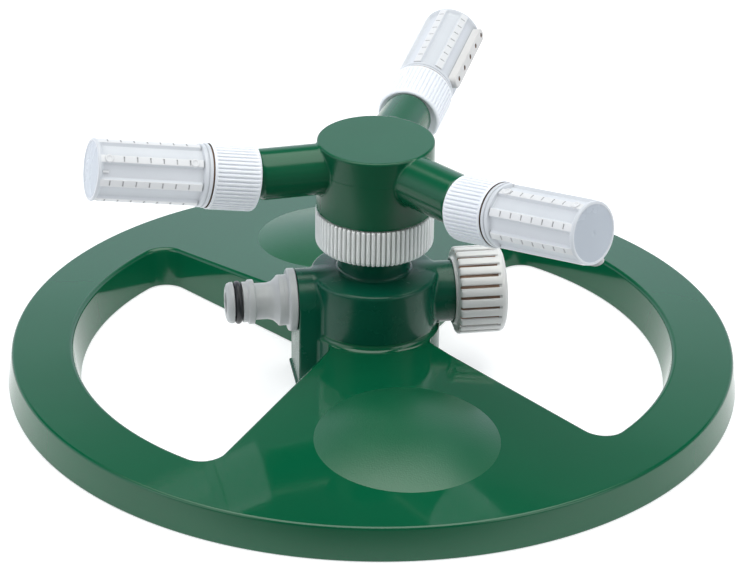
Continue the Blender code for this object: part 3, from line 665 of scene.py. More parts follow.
def build_stand():
    shell = Shell()
    # outer edge, skirt and foot
    seg = 288
    circ = circle(1.0, seg)
    skirt_top = np.array([EDGE_R + 0.25, EDGE_Z - 1.3])
    foot_pt = np.array([STAND_R, 0.0])
    d = unit(skirt_top - foot_pt)
    apex_r = EDGE_R + 0.10
    corner = foot_pt + d * ((cone_z(apex_r)) / d[1])
    corner = np.array([corner[0], cone_z(corner[0])])
    prof = rounded([(120.0, cone_z(120.0)), tuple(corner), (STAND_R, 0.0)], [0, 1.25, 0], steps=9)
    top_r, top_z = prof[1]
    arc_pts = prof[1:-1]
    rings, normals = [], []
    a = np.array(arc_pts[0])
    n_top = unit(np.array([CONE_SLOPE, 1.0]))
    n_side = unit(np.array([d[1], -d[0]]))
    centre2 = a - n_top * 1.25
    for p in arc_pts:
        nn = unit(np.array(p) - centre2)
        rings.append(np.column_stack([circ * p[0], np.full(seg, p[1])]))
        normals.append(np.column_stack([circ * nn[0], np.full(seg, nn[1])]))
    for h in (8.0, 4.0, 0.55):
        rr = foot_pt[0] + d[0] * h / d[1]
        rings.append(np.column_stack([circ * rr, np.full(seg, h)]))
        normals.append(np.column_stack([circ * n_side[0], np.full(seg, n_side[1])]))
    rings.append(np.column_stack([circ * (STAND_R - 0.12), np.full(seg, 0.12)]))
    nn = unit(n_side + np.array([0, -0.9]))
    normals.append(np.column_stack([circ * nn[0], np.full(seg, nn[1])]))
    rings.append(np.column_stack([circ * (STAND_R - 0.5), np.zeros(seg)]))
    normals.append(np.tile([0.0, 0.0, -1.0], (seg, 1)))
    shell.strip(rings, normals)
    outer_top = rings[0][:, :2]
    outer_foot = rings[-1][:, :2]

    tops, feet = zip(*[edge_strip(shell, side) for side in (1, -1)])
    hole = circle(HOUSING_R, 144)
    pads = [circle(PAD_R, 128, 0.0, s * PAD_Y) for s in (-1, 1)]

    def on_top(px, py):
        r = np.hypot(px, py)
        ok = (r > HOUSING_R - 0.004) & (r < top_r + 0.01)
        for t in tops:
            ok &= ~in_polygon(px, py, t[:, :2])
        for pad in pads:
            ok &= ~in_polygon(px, py, pad)
        return ok
    seeds = []
    for r in (HOUSING_R + FLARE_R * (1 - np.sin(np.radians(np.array([84, 76, 67, 57, 46, 34, 20, 8]))))):
        seeds.append(circle(r, 144, phase=0.01))
    for r in (27.0, 29.0, 32.0, 36.0, 41.0, 47.0, 53.0, 60.0, 67.0, 74.0, 81.0, 88.0, 95.0, 102.0, 108.0, 113.0, 117.0, 121.0, 125.0, 129.0):
        seeds.append(circle(r, int(max(60, r * 1.6)), phase=r * 0.37))
    seeds = np.concatenate(seeds)
    away = np.ones(len(seeds), bool)
    for s in (-1, 1):
        away &= np.hypot(seeds[:, 0], seeds[:, 1] - s * PAD_Y) > PAD_R + 0.8
    seeds = seeds[away]
    P, T = triangulate([outer_top, *[t[:, :2] for t in tops], hole, *pads], seeds, on_top)
    # boundary heights from the strips
    lookup = {}
    for loop in (rings[0], *tops):
        for q in loop:
            lookup[(round(q[0], 4), round(q[1], 4))] = q[2]
    r_all = np.hypot(P[:, 0], P[:, 1])
    base_z, gx0, gy0 = top_surface(P[:, 0], P[:, 1])
    for i, (px, py) in enumerate(P):
        key = (round(px, 4), round(py, 4))
        if key in lookup:
            base_z[i] = lookup[key]
    z_final = base_z
    pts = np.column_stack([P, z_final])
    shell.add(pts, T.tolist(), [[unit(np.array([-gx0[i], -gy0[i], 1.0])) for i in t] for t in T])
    # the two domed pads, ring by ring
    for s in (-1, 1):
        dome, dome_n = [], []
        for share in np.linspace(1.0, 0.04, 20):
            ring_xy = circle(PAD_R * share, 128, 0.0, s * PAD_Y)
            zc, gx, gy = top_surface(ring_xy[:, 0], ring_xy[:, 1], pad=s)
            if share == 1.0:
                zc = top_surface(ring_xy[:, 0], ring_xy[:, 1])[0]
            dome.append(np.column_stack([ring_xy, zc]))
            dome_n.append(unit(np.column_stack([-gx, -gy, np.ones(128)])))
        shell.strip(dome, dome_n, mat=1)
        zc, gx, gy = top_surface(np.array([0.0]), np.array([s * PAD_Y]), pad=s)
        middle = np.array([[0.0, s * PAD_Y, zc[0]]])
        fan = np.concatenate([dome[-1], middle])
        fan_n = np.concatenate([dome_n[-1], unit(np.array([[-gx[0], -gy[0], 1.0]]))])
        shell.add(fan, [(i, (i + 1) % 128, 128) for i in range(128)], fan_n, 1)

    # inner lip at the housing, hidden in its wall
    top_h = cone_z(HOUSING_R) + FLARE_R
    n_h = len(hole)
    on_circle = np.abs(r_all - HOUSING_R) < 1e-3
    lip_z = float(np.median(z_final[on_circle])) if on_circle.any() else top_h
    ring_a = np.column_stack([hole, np.full(n_h, lip_z)])
    ring_a[:, 2] = [z_final[np.argmin(np.abs(P[:, 0] - q[0]) + np.abs(P[:, 1] - q[1]))] for q in hole]
    small = circle(22.4, n_h)
    ring_b = np.column_stack([small, np.full(n_h, lip_z)])
    ring_c = np.column_stack([small, np.zeros(n_h)])
    inward = np.column_stack([-small / 22.4, np.zeros(n_h)])
    shell.strip([ring_a, ring_b], [np.tile([0.0, 0.0, 1.0], (n_h, 1))] * 2)
    shell.strip([ring_b, ring_c], [inward, inward])

    # hollow underside
    inner_r = EDGE_R - WALL
    unders = [opening_outline(s, WALL, 8.0) for s in (1, -1)]
    wall_ring = circle(23.2, 144)
    rim = circle(inner_r, 240)

    def below(px, py):
        r = np.hypot(px, py)
        ok = (r > 23.2) & (r < inner_r)
        for u in unders:
            ok &= ~in_polygon(px, py, u)
        return ok
    seeds_low = np.concatenate([circle(r, int(max(40, r * 0.9)), phase=r) for r in (30, 40, 52, 64, 76, 88, 100, 114, 118, 122, 126)])
    Q, U = triangulate([rim, *unders, wall_ring, *[circle(PAD_R - 2, 64, 0.0, s * PAD_Y) for s in (-1, 1)]], seeds_low, below)
    zq = top_surface(Q[:, 0], Q[:, 1], flare=False)[0] - WALL
    for s in (-1, 1):
        px, py = Q[:, 0], Q[:, 1] - s * PAD_Y
        lift = np.clip(1 - (px ** 2 + py ** 2) / (PAD_R - 2) ** 2, 0, 1) * (PAD_RISE - 0.3)
        zq = zq + lift
    low_pts = np.column_stack([Q, zq])
    shell.add(low_pts, U.tolist(), [[(0.0, 0.0, -1.0)] * 3 for _ in U])
    seen = {}
    for t in U:
        for i in range(3):
            e = (int(t[i]), int(t[(i + 1) % 3]))
            seen[e] = seen.get(e, 0) + 1
    border = [e for e in seen if (e[1], e[0]) not in seen]
    for a_i, b_i in border:
        pa, pb = low_pts[a_i], low_pts[b_i]
        da = pb[:2] - pa[:2]
        nn = unit(np.array([-da[1], da[0], 0.0]))      # towards the hollow
        quad = [pa, pb, np.array([pb[0], pb[1], 0.0]), np.array([pa[0], pa[1], 0.0])]
        shell.add(quad, [[0, 1, 2, 3]], [[nn] * 4])

    # what touches the ground
    def sole(px, py):
        r = np.hypot(px, py)
        ok = (r > 22.4) & (r < STAND_R - 0.5)
        for f_ in feet:
            ok &= ~in_polygon(px, py, f_)
        return ok & ~below(px, py)
    G, V = triangulate([outer_foot, *feet, small], [], sole,
                       extra_edges=[(low_pts[a_i][:2], low_pts[b_i][:2]) for a_i, b_i in border])
    shell.add(np.column_stack([G, np.zeros(len(G))]), V.tolist(), [[(0.0, 0.0, -1.0)] * 3 for _ in V])
    return shell.build("stand_plate", [MAT_GLOSS, MAT_PAD])


def thread(q, along, theta, pitch, depth):
    """Depth of a rounded thread below its crest."""
    phase = along / pitch - theta / math.tau
    saw = np.abs((phase - np.floor(phase)) * 2 - 1)
    return depth * np.clip((saw - 0.18) / 0.64, 0, 1)


def housing_field(p):
    x, y, z = p[..., 0], p[..., 1], p[..., 2]
    r = np.hypot(x, y)
    top = (z - (SHOULDER_TOP - 0.176 * np.maximum(r - 15.0, 0))) * 0.985
    body = round_and(r - HOUSING_R, top, 1.2)
    # foot that runs out onto the stand; under the spokes it lies just inside them
    side = np.degrees(np.arctan2(np.abs(y), np.abs(x)))
    away = np.clip((side - 39.0) / 9.0, 0, 1)
    away = away * away * (3 - 2 * away)
    low = np.clip((cone_z(HOUSING_R) + FLARE_R - z) / 0.6, 0, 1)
    plate = z - cone_z(r)
    foot = round_or(body, plate, FLARE_R)
    foot = round_and(foot, r - (OPEN_R_NEAR + 0.02), 0.75)
    foot = foot + low * (0.14 * away - 0.012 * (1 - away))
    q = np.hypot(y, z - PIPE_Z)
    u_shape = np.where(z > PIPE_Z, q, np.abs(y)) - 11.4
    support = round_and(u_shape, -29.0 - x, 0.40)
    support = np.maximum(support, x + 12.0)
    solid = round_or(foot, support, 0.9)
    ledge = np.maximum(np.maximum(-29.7 - x, np.abs(y) - 11.95), z - 1.1)
    solid = np.minimum(solid, np.maximum(ledge, x + 12.0))
    theta = np.arctan2(z - PIPE_Z, y)
    cut = thread(q, x, theta, 1.814, 0.75) * np.clip((x - 31.0) / 1.2, 0, 1)
    pipe = round_and(q - (11.3 - cut), x - 43.5, 0.5)
    pipe = np.maximum(pipe, -x)
    solid = round_or(solid, pipe, 0.8)
    hollow = np.maximum(r - 20.9, z - 40.0)
    hollow = np.maximum(hollow, 11.4 - q)
    hollow = np.maximum(hollow, -np.maximum(r - 12.6, 32.0 - z))
    solid = np.maximum(solid, -hollow)
    way = np.where(x < -18.0, q - 9.8, q - 6.5)
    way = np.maximum(way, x - 60)
    solid = np.maximum(solid, -way)
    well = np.where(z > 39.0, r - 9.7, r - 5.0)
    well = np.maximum(well, 32.0 - z)
    solid = np.maximum(solid, -well)
    foot_box = np.maximum(np.maximum(np.abs(x + 24.6) - 2.0, np.abs(y) - 9.0), z - 18.5)
    solid = np.maximum(solid, -foot_box)
    return np.maximum(solid, -z)


def hub_field(p):
    x, y, z = p[..., 0], p[..., 1], p[..., 2]
    r = np.hypot(x, y)
    body = round_and(r - 21.4, z - 95.0, 0.75)
    body = round_and(body, 68.0 - z, 0.8)
    arms = np.full(x.shape, 1e3)
    ways = np.full(x.shape, 1e3)
    for az in ARM_AZIMUTHS:
        c, s = math.cos(math.radians(az)), math.sin(math.radians(az))
        along = x * c + y * s
        q = np.hypot(-x * s + y * c, z - ARM_Z)
        tube = round_and(q - ARM_R, along - (ARM_END + 1.9), 2.3)      # its rounded end runs into the nut's mouth
        ball = np.sqrt(q * q + (along - BALL_AT) ** 2) - BALL_R
        neck = np.maximum(q - 5.6, along - BALL_AT)
        one = np.minimum(np.minimum(tube, neck), np.maximum(ball, along - (BALL_AT + 7.2)))
        one = np.maximum(one, -along + 8.0)
        arms = np.minimum(arms, one)
        way = np.where(along < 39.0, q - 6.6, q - 3.2)
        ways = np.minimum(ways, np.maximum(way, 12.0 - along))
    solid = round_or(body, arms, 0.55)
    solid = np.maximum(solid, z - 95.0)
    theta = np.arctan2(y, x)
    cut = thread(r, -z, theta, 2.0, 0.7) * np.clip((67.4 - z) / 0.8, 0, 1)
    skirt = np.maximum(np.maximum(r - (18.7 - cut), z - 70.0), 60.4 - z)
    solid = np.minimum(solid, skirt)
    chamber = np.maximum(np.maximum(r - 16.6, z - 92.0), 69.0 - z)
    bore = np.maximum(r - 17.2, z - 69.5)
    solid = np.maximum(solid, -chamber)
    solid = np.maximum(solid, -bore)
    return np.maximum(solid, -ways)


# ================================================================== build

pieces = []


def place(ob, body, slot_name, *nodes):
    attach(ob, body)
    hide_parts(*nodes)
    pieces.append(ob)
    return ob


def join(name, obs):
    """One object from several, keeping their corner normals."""
    verts, faces, normals, fm, mats = [], [], [], [], []
    base = 0
    for ob in obs:
        me = ob.data
        co = np.zeros(len(me.vertices) * 3)
        me.vertices.foreach_get("co", co)
        co = co.reshape(-1, 3)
        w = np.array(ob.matrix_world)
        co = co @ w[:3, :3].T + w[:3, 3]
        nr = np.zeros(len(me.loops) * 3)
        me.corner_normals.foreach_get("vector", nr)
        nr = nr.reshape(-1, 3) @ w[:3, :3].T
        remap = []
        for m in me.materials:
            if m not in mats:
                mats.append(m)
            remap.append(mats.index(m))
        for p in me.polygons:
            faces.append([base + i for i in p.vertices])
            fm.append(remap[p.material_index])
        verts.append(co)
        normals.append(nr)
        base += len(co)
    for ob in obs:
        bpy.data.objects.remove(ob)
    return from_arrays(name, np.concatenate(verts) / MM, faces, mats, fm, np.concatenate(normals))


plate = build_stand()
housing = field_mesh("housing", housing_field, (-30.0, -26.0, -0.7), (44.6, 26.0, 44.9), 0.5, [MAT_HOUSING])
stand = join("stand_moulding", [plate, housing])
place(stand, "base", "stand_green", "base_moulding")

hub = field_mesh("rotating_hub", hub_field, (-62.3, -62.3, 59.6), (62.3, 62.3, 95.9), 0.55, [MAT_HUB])
place(hub, "rotor", "hub_green", "hub")

# ------------------------------------------------------------------ turned pieces
CAP_PHASE = 0.5
NIPPLE = [(4.2, -54.8), (5.8, -54.8), (7.1, -54.3), (7.6, -53.1), (7.6, -52.0), (5.1, -52.0), (5.1, -48.9), (7.45, -48.9),
          (7.45, -47.1), (8.2, -46.6), (8.2, -44.6), (6.7, -44.2), (6.7, -39.6), (7.2, -37.7), (8.6, -36.2), (9.35, -35.7),
          (9.35, -34.2), (9.25, -34.0), (9.35, -33.8), (9.35, -32.3), (11.55, -32.3), (11.55, -29.3), (9.5, -29.3), (9.5, -20.0), (4.2, -20.0)]
N_RAD = [0.4, 1.0, 1.2, 1.0, 0.35, 0.1, 0.1, 0.3, 0.35, 0.5, 0.5, 0.4, 2.5, 2.5, 1.0, 0.5, 0.1, 0.1, 0.1, 0.35, 0.9, 0.35, 0.1, 0.3, 0.2]


def closed_profile(points, radii, steps=5):
    """Rounded closed profile."""
    k = len(points)
    ext = [points[-1]] + list(points) + [points[0]]
    rad = [0] + list(radii) + [0]
    return rounded(ext, rad, steps)[1:-1]


nipple = lathe("inlet_spigot", closed_profile(NIPPLE, N_RAD, 7), 144, [MAT_GREY], axis="x", angle=40)
place(nipple, "base", "fitting_grey", "inlet_nipple")


def o_ring(name, r_mid, at, section, axis="z", seg=128):
    prof = [(r_mid + section * math.cos(t), at + section * math.sin(t)) for t in np.arange(20) / 20 * math.tau]
    return lathe(name, prof, seg, [MAT_BLACK], axis=axis, angle=60)


place(o_ring("spigot_o_ring", 6.7, -50.45, 1.25, "x"), "base", "seal_black", "nipple_o_ring")

SPINDLE = [(5.0, 39.3), (9.4, 39.3), (9.4, 43.93), (14.25, 43.93), (13.95, 44.05), (13.5, 44.4), (13.3, 45.0), (13.3, 57.2),
           (16.6, 57.2), (16.6, 59.4), (9.0, 59.4), (9.0, 64.0), (7.6, 64.0), (7.6, 66.0), (9.0, 66.0), (9.0, 68.8), (5.0, 68.8)]
S_RAD = [0.2, 0.2, 0, 0.05, 0.3, 0.5, 0.5, 0.3, 0.4, 0.4, 0.2, 0.1, 0.1, 0.1, 0.1, 0.4, 0.3]
spindle = lathe("neck_spindle", closed_profile(SPINDLE, S_RAD, 6), 160, [MAT_SPINDLE], angle=40)
place(spindle, "base", "spindle_green", "spindle")


HN = [(13.7, 53.5, 0), (19.2, 53.5, 0.0), (19.6, 53.52, 0.45), (20.2, 53.7, 0.9), (20.8, 54.1, 1), (21.3, 54.65, 1), (21.58, 55.3, 1),
      (21.65, 56.0, 1), (21.65, 61.0, 1), (21.65, 66.9, 1), (21.6, 67.35, 1), (21.35, 67.62, 0.8), (21.1, 67.7, 0.6), (19.0, 67.7, 0), (19.0, 56.0, 0), (13.7, 56.0, 0)]
# painted shade: the knurl's groove floors take the darker groove material
hub_nut = lathe("hub_ring_nut", HN, 0, [MAT_HUBNUT, MAT_HUBNUT_GROOVE_SHADE], angle=50, ribs=knurl(72, 0.50, 0.15, 0.90), groove_shade_mat=1)
place(hub_nut, "lock_nut", "fitting_grey", "hub_nut")

CAP_OUT = [(0.0, 47.9, 0), (13.6, 47.9, 0), (14.7, 47.75, 0), (15.5, 47.3, 0), (16.0, 46.6, 0), (16.2, 45.8, 0), (16.2, 45.5, 0.0), (16.2, 45.15, 0.35),
           (16.2, 44.6, 0.75), (16.2, 43.8, 1), (16.2, 38.0, 1), (16.2, 32.0, 1), (16.2, 31.0, 1), (16.05, 30.6, 1), (15.7, 30.3, 1), (14.4, 30.3, 0.3), (12.9, 30.3, 0),
           (12.5, 30.0, 0), (12.5, 29.2, 0), (12.3, 29.0, 0), (11.7, 29.0, 0), (11.7, 45.9, 0), (0.0, 45.9, 0)]
# the cap's grooves take the brown grime with painted shade
cap = lathe("blanking_cap", CAP_OUT, 0, [MAT_CAP, MAT_GRIME_AND_SHADE], axis="x", angle=45, closed=False, ribs=knurl(24, 0.68, 0.07, 1.25, CAP_PHASE), groove_shade_mat=1)
place(cap, "cap", "fitting_grey", "end_cap")

UN = [(10.9, -7.7, 0), (11.1, -7.7, 0), (11.45, -7.55, 0), (11.8, -7.1, 0.1), (11.95, -6.5, 0.35), (12.0, -5.9, 0.75), (12.0, -5.2, 1), (12.0, 1.0, 1),
      (12.0, 8.4, 1), (12.0, 8.7, 0.8), (12.0, 9.0, 0), (12.0, 9.5, 0), (11.9, 9.8, 0), (11.7, 9.9, 0), (11.62, 9.86, 0), (11.5, 9.72, 0), (10.9, 9.6, 0), (10.9, -1.6, 0),
      (9.3, -2.6, 0), (7.85, -4.2, 0), (7.85, -5.6, 0)]


def head_frame(i):
    azimuth = math.radians(ARM_AZIMUTHS[i])
    centre = Vector((BALL_AT * math.cos(azimuth), BALL_AT * math.sin(azimuth), ARM_Z)) * MM
    a, t = azimuth + math.radians(HEAD_YAW[i]), math.radians(HEAD_TILT)
    out = Vector((math.cos(a) * math.cos(t), math.sin(a) * math.cos(t), math.sin(t)))
    left = Vector((-math.sin(a), math.cos(a), 0.0))
    m = Matrix((left, out.cross(left), out)).transposed().to_4x4()
    m.translation = centre
    return m


# ------------------------------------------------------------------ spray barrel
TICKS = [19.0 + 4.83 * k for k in range(7)]
RIB_TOP, FLAT = 11.42, 10.22


def barrel_section():
    """Angles of one barrel ring with what each point is: share of rib height (0 flat, 1 crown)."""
    rows = []
    for k in range(8):
        for off, h in ((-9.9, 0.0), (-9.3, 0.10), (-6.9, 0.90), (-6.2, 0.985), (-4.9, 1.0), (-4.3, 1.0), (-2.1, 1.0), (0.0, 1.0), (2.1, 1.0),
                       (4.3, 1.0), (4.9, 1.0), (6.2, 0.985), (6.9, 0.90), (9.3, 0.10), (9.9, 0.0)):
            rows.append((45.0 * k + off, k, h, off))
        for off in (15.0, 22.5, 30.0):
            rows.append((45.0 * k + off, k, 0.0, off))
    return rows


SECTION = barrel_section()


def flat_radius(off):
    """Straight wall between two ribs, a touch hollow."""
    m = off % 45.0
    if m < 9.9 or m > 35.1:
        return FLAT
    chord = FLAT * math.cos(math.radians(12.6)) / math.cos(math.radians(m - 22.5))
    return chord - 0.10 * (1 - ((m - 22.5) / 12.6) ** 2)


def barrel_row(s, kind, radius=0.0, notch=0.0, blend=0.0, tick=0.0):
    pts = []
    for ang, k, h, off in SECTION:
        t = math.radians(ang)
        if kind == "round":
            r = radius
        else:
            base = flat_radius(ang)
            crown = RIB_TOP
            if k == 0:
                r = base                        # flat seat under the jet strip
            else:
                r = base + (crown - base) * h
                if notch:
                    r = min(r, RIB_TOP - notch) if h > 0.0 else r
                if tick and abs(off) < 4.5:
                    r -= tick
            if blend:
                r = r + (radius - r) * blend
        pts.append((r * math.cos(t), r * math.sin(t), s))
    return pts


def build_barrel(name, dash=False):
    rows, mats = [], []

    def add(row, mat=0):
        rows.append(row)
        mats.append(mat)

    # painted light: faces on the rib crowns take the lighter rib copy (index 3)
    def cell(a, i):
        s, nxt = rows[a][i][2], SECTION[(i + 1) % len(SECTION)]
        on_rib = SECTION[i][1] and SECTION[i][1] == nxt[1] and min(SECTION[i][2], nxt[2]) > 0.85
        return 3 if mats[a] == 0 and on_rib and 13.9 < s < 51.4 and a > 6 else mats[a]
    add(barrel_row(50.4, "round", 8.0))
    add(barrel_row(6.3, "round", 8.0))
    add(barrel_row(6.3, "round", 9.3))
    add(barrel_row(-1.0, "round", 9.3))
    add(barrel_row(-1.0, "round", 10.6))
    # brown grime with painted shade inside the nut and on the flange's back, for the dark gap line at the nut
    add(barrel_row(6.0, "round", 10.6), 2)
    add(barrel_row(10.3, "round", 10.6), 2)
    for r, s in rounded([(10.6, 10.3), (11.58, 10.3), (11.58, 11.55), (11.12, 11.7), (11.12, 12.0), (11.45, 12.15), (11.45, 13.45), (10.9, 13.5)],
                        [0, 0.30, 0.25, 0.1, 0.1, 0.25, 0.4, 0], 4)[1:-1]:
        add(barrel_row(s, "round", r), 2 if s < 10.5 else 0)
    add(barrel_row(13.6, "ribbed", 10.75, blend=0.7, notch=1.1))
    add(barrel_row(13.75, "ribbed", 10.5, blend=0.2, notch=1.1))
    add(barrel_row(13.95, "ribbed", notch=1.1))
    add(barrel_row(14.15, "ribbed", notch=0.10))
    add(barrel_row(14.3, "ribbed"))
    for k, s in enumerate(TICKS):
        add(barrel_row(s - 0.34, "ribbed"))
        add(barrel_row(s - 0.25, "ribbed", tick=0.08))
        add(barrel_row(s - 0.12, "ribbed", tick=0.52))
        add(barrel_row(s + 0.12, "ribbed", tick=0.52))
        add(barrel_row(s + 0.25, "ribbed", tick=0.08))
        add(barrel_row(s + 0.34, "ribbed"))
    add(barrel_row(50.0, "ribbed"))
    add(barrel_row(50.35, "ribbed", 11.2, blend=0.08))
    add(barrel_row(50.8, "ribbed", 11.2, blend=0.40))
    add(barrel_row(51.2, "ribbed", 11.2, blend=0.86))
    add(barrel_row(51.45, "round", 11.2))
    for r, s in rounded([(11.2, 51.45), (11.2, 52.4), (10.3, 52.4), (10.15, 52.22), (9.9, 52.2)], [0, 0.45, 0.15, 0.08, 0], 9)[1:-1]:
        add(barrel_row(s, "round", r), 0)
    mats[-1] = 1
    for r in (9.85, 9.2, 8.0, 6.8, 5.4, 4.0, 2.6, 1.4):
        add(barrel_row(52.2 + 0.16 * (1 - (r / 9.9) ** 2), "round", r), 1)
    add(barrel_row(52.355, "round", 0.75), 1)
    add(barrel_row(52.30, "round", 0.55), 1)
    ob = grid(name, rows, [MAT_BARREL, MAT_DISC, MAT_GRIME_AND_SHADE, MAT_RIB_PAINTED_LIGHT], angle=28.0, cap_first=True, cap_last=True, ring_mats=mats, cell_mat=cell)
    # slot behind the jets
    def box(n, x0, x1, y0, y1, z0, z1, mat=0):
        v = [(x, y, z) for x in (x0, x1) for y in (y0, y1) for z in (z0, z1)]
        f = [(0, 1, 3, 2), (4, 6, 7, 5), (0, 4, 5, 1), (2, 3, 7, 6), (0, 2, 6, 4), (1, 5, 7, 3)]
        return from_arrays(n, v, f, [MAT_BARREL, MAT_DISC, MAT_GRIME_AND_SHADE, MAT_RIB_PAINTED_LIGHT], [mat] * 6)
    slot = box("cut", 6.0, 12.5, -1.2, 1.2, JET_MID - 16.5, JET_MID + 16.5)
    bool_apply(ob, [slot], "DIFFERENCE", 28.0)
    # the pins and the dash use the lighter rib copy too: painted light
    adds = []
    for s in (17.3, 48.6):
        prof = rounded([(0.0, 9.8), (1.5, 9.8), (1.5, 11.85), (0.95, 11.85), (0.75, 11.67), (0.0, 11.65)], [0, 0, 0.2, 0.1, 0.1, 0], 5)
        pin = lathe("pin", prof, 36, [MAT_BARREL, MAT_DISC, MAT_GRIME_AND_SHADE, MAT_RIB_PAINTED_LIGHT], closed=False, row_mats={k: 3 for k in range(len(prof))})
        pin.matrix_world = Matrix.Translation((0, 0, s * MM)) @ Matrix.Rotation(math.radians(-90), 4, "Y")
        adds.append(pin)
    if dash:
        t = math.radians(180.0 - 22.5 - 2.0)
        d = box("dash", 9.5, 10.55, -0.34, 0.34, 48.4, 50.7, 3)
        d.matrix_world = Matrix.Rotation(t, 4, "Z")
        adds.append(d)
    bool_apply(ob, adds, "UNION", 28.0)
    return ob


def stadium(half, low, high, inset=0.0, steps=14):
    h = half - inset
    a = [(h * math.cos(math.radians(t)), low + half + h * math.sin(math.radians(t))) for t in np.linspace(180, 360, steps + 1)]
    b = [(h * math.cos(math.radians(t)), high - half + h * math.sin(math.radians(t))) for t in np.linspace(0, 180, steps + 1)]
    return np.array(a + b)


def build_bar(name):
    """Strip along the barrel at +X: plan in (y, s), thickness along x."""
    shell = Shell()
    half, low, high = 2.5, 13.6, 51.7
    x_back, x_face, e = 9.95, 13.2, 0.45
    outline = stadium(half, low, high)
    tangent = unit(np.roll(outline, -1, 0) - np.roll(outline, 1, 0))
    normal = np.stack([tangent[:, 1], -tangent[:, 0]], -1)
    n = len(outline)

    def ring(plan, x):
        return np.column_stack([np.full(len(plan), x), plan])
    rings, normals = [], []
    back = stadium(half, low, high, 0.25)
    rings.append(ring(back, x_back))
    normals.append(np.tile([-1.0, 0, 0], (n, 1)))
    for x in (x_back + 0.2, x_back + 0.8, x_face - e):
        rings.append(ring(outline, x))
        normals.append(np.column_stack([np.zeros(n), normal]))
    for i in range(1, 7):
        t = math.radians(90 * i / 6)
        rings.append(ring(stadium(half, low, high, e * (1 - math.cos(t))), x_face - e + e * math.sin(t)))
        normals.append(np.column_stack([np.full(n, math.sin(t)), normal * math.cos(t)]))
    shell.strip(rings, normals)
    holes, mouths, exits = [], [], []
    for j in range(5):
        s = JET_MID + (j - 2) * JET_SPACING
        m = 28
        plan = lambda r: circle(r, m, 0.0, s)
        c = circle(1.0, m)
        hr, hn = [], []
        for i in range(5):
            t = math.radians(90 * i / 4)
            rr = 0.95 + 0.20 * (1 - math.sin(t))
            hr.append(ring(plan(rr), x_face - 0.20 * (1 - math.cos(t))))
            hn.append(np.column_stack([np.full(m, math.cos(t)), -c * math.sin(t)]))
        shell.strip(hr, hn, mat=0)
        # the jet hole walls take the brown grime with painted shade
        deep, inward = ring(plan(0.90), x_back), np.column_stack([np.zeros(m), -c])
        shell.strip([hr[-1], deep], [inward, inward], mat=1)
        mouths.append(plan(1.15))
        exits.append(plan(0.90))
    for x, loops, sign in ((x_face, mouths, 1.0), (x_back, exits, -1.0)):
        edge = rings[-1][:, 1:] if sign > 0 else rings[0][:, 1:]

        def keep(px, py):
            ok = in_polygon(px, py, edge)
            for l in loops:
                ok &= ~in_polygon(px, py, l)
            return ok
        P, T = triangulate([edge, *loops], [], keep)
        shell.add(ring(P, x), T.tolist(), [[(sign, 0.0, 0.0)] * 3 for _ in T])
    return shell.build(name, [MAT_BAR, MAT_GRIME_AND_SHADE])


SIDES = ("right", "back", "left")
for i in range(3):
    n = i + 1
    base_m = head_frame(i)
    turned_m = base_m @ Matrix.Rotation(math.radians(HEAD_ROLL[i]), 4, "Z")
    # rows 15 and 16, the nut's mouth at the barrel, take the brown grime with painted shade
    nut = lathe("union_nut_look_%d" % n, UN, 0, [MAT_NUT, MAT_GRIME_AND_SHADE], angle=50, ribs=knurl(48, 0.56, 0.13, 0.50, 0.21 * i), row_mats={15: 1, 16: 1})
    nut.data.transform(base_m)
    place(nut, "clamp_%d" % n, "nut_white", "union_nut_%d" % n)
    barrel = build_barrel("spray_barrel_%d" % n, dash=(i == 2))
    barrel.data.transform(turned_m)
    place(barrel, "head_%d" % n, "barrel_pale", "head_barrel_%d" % n)
    bar = build_bar("jet_strip_%d" % n)
    bar.data.transform(turned_m)
    place(bar, "head_%d" % n, "jet_bar_white", "jet_bar_%d" % n)

# ------------------------------------------------------------------ CAD nodes that stay as they are
STAY = {"nipple_gasket": MAT_BLACK, "cap_gasket": MAT_BLACK, "spindle_o_ring": MAT_BLACK, "bearing_bush": MAT_SLIP,
        "upper_thrust_washer": MAT_SLIP, "lower_thrust_washer": MAT_SLIP, "ball_seat_1": MAT_BLACK, "ball_seat_2": MAT_BLACK,
        "ball_seat_3": MAT_BLACK}
for name, mat in STAY.items():
    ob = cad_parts[name]
    for s in ob.material_slots:
        s.material = mat
    if not ob.material_slots:
        ob.data.materials.append(mat)

# ================================================================== floor, light, camera
FORWARD = Vector((0.1571, 0.9876, 0.0))
fm = bpy.data.materials.new("floor_pale")
fm.use_nodes = True
nt = fm.node_tree
bs = nt.nodes["Principled BSDF"]
where = nt.nodes.new("ShaderNodeTexCoord")
noise = nt.nodes.new("ShaderNodeTexNoise")
noise.inputs["Scale"].default_value = 6.0
nt.links.new(where.outputs["Object"], noise.inputs["Vector"])
rmp = nt.nodes.new("ShaderNodeValToRGB")
rmp.color_ramp.elements[0].color, rmp.color_ramp.elements[1].color = (0.545, 0.55, 0.56, 1), (0.56, 0.565, 0.575, 1)
nt.links.new(noise.outputs["Fac"], rmp.inputs["Fac"])
run = nt.nodes.new("ShaderNodeVectorMath")
run.operation = "DOT_PRODUCT"
run.inputs[1].default_value = FORWARD
nt.links.new(where.outputs["Object"], run.inputs[0])
fall = nt.nodes.new("ShaderNodeMapRange")
fall.interpolation_type = "SMOOTHSTEP"
fall.inputs["From Min"].default_value, fall.inputs["From Max"].default_value = -0.186, -0.124
fall.inputs["To Min"].default_value, fall.inputs["To Max"].default_value = 0.13, 1.0
nt.links.new(run.outputs["Value"], fall.inputs["Value"])
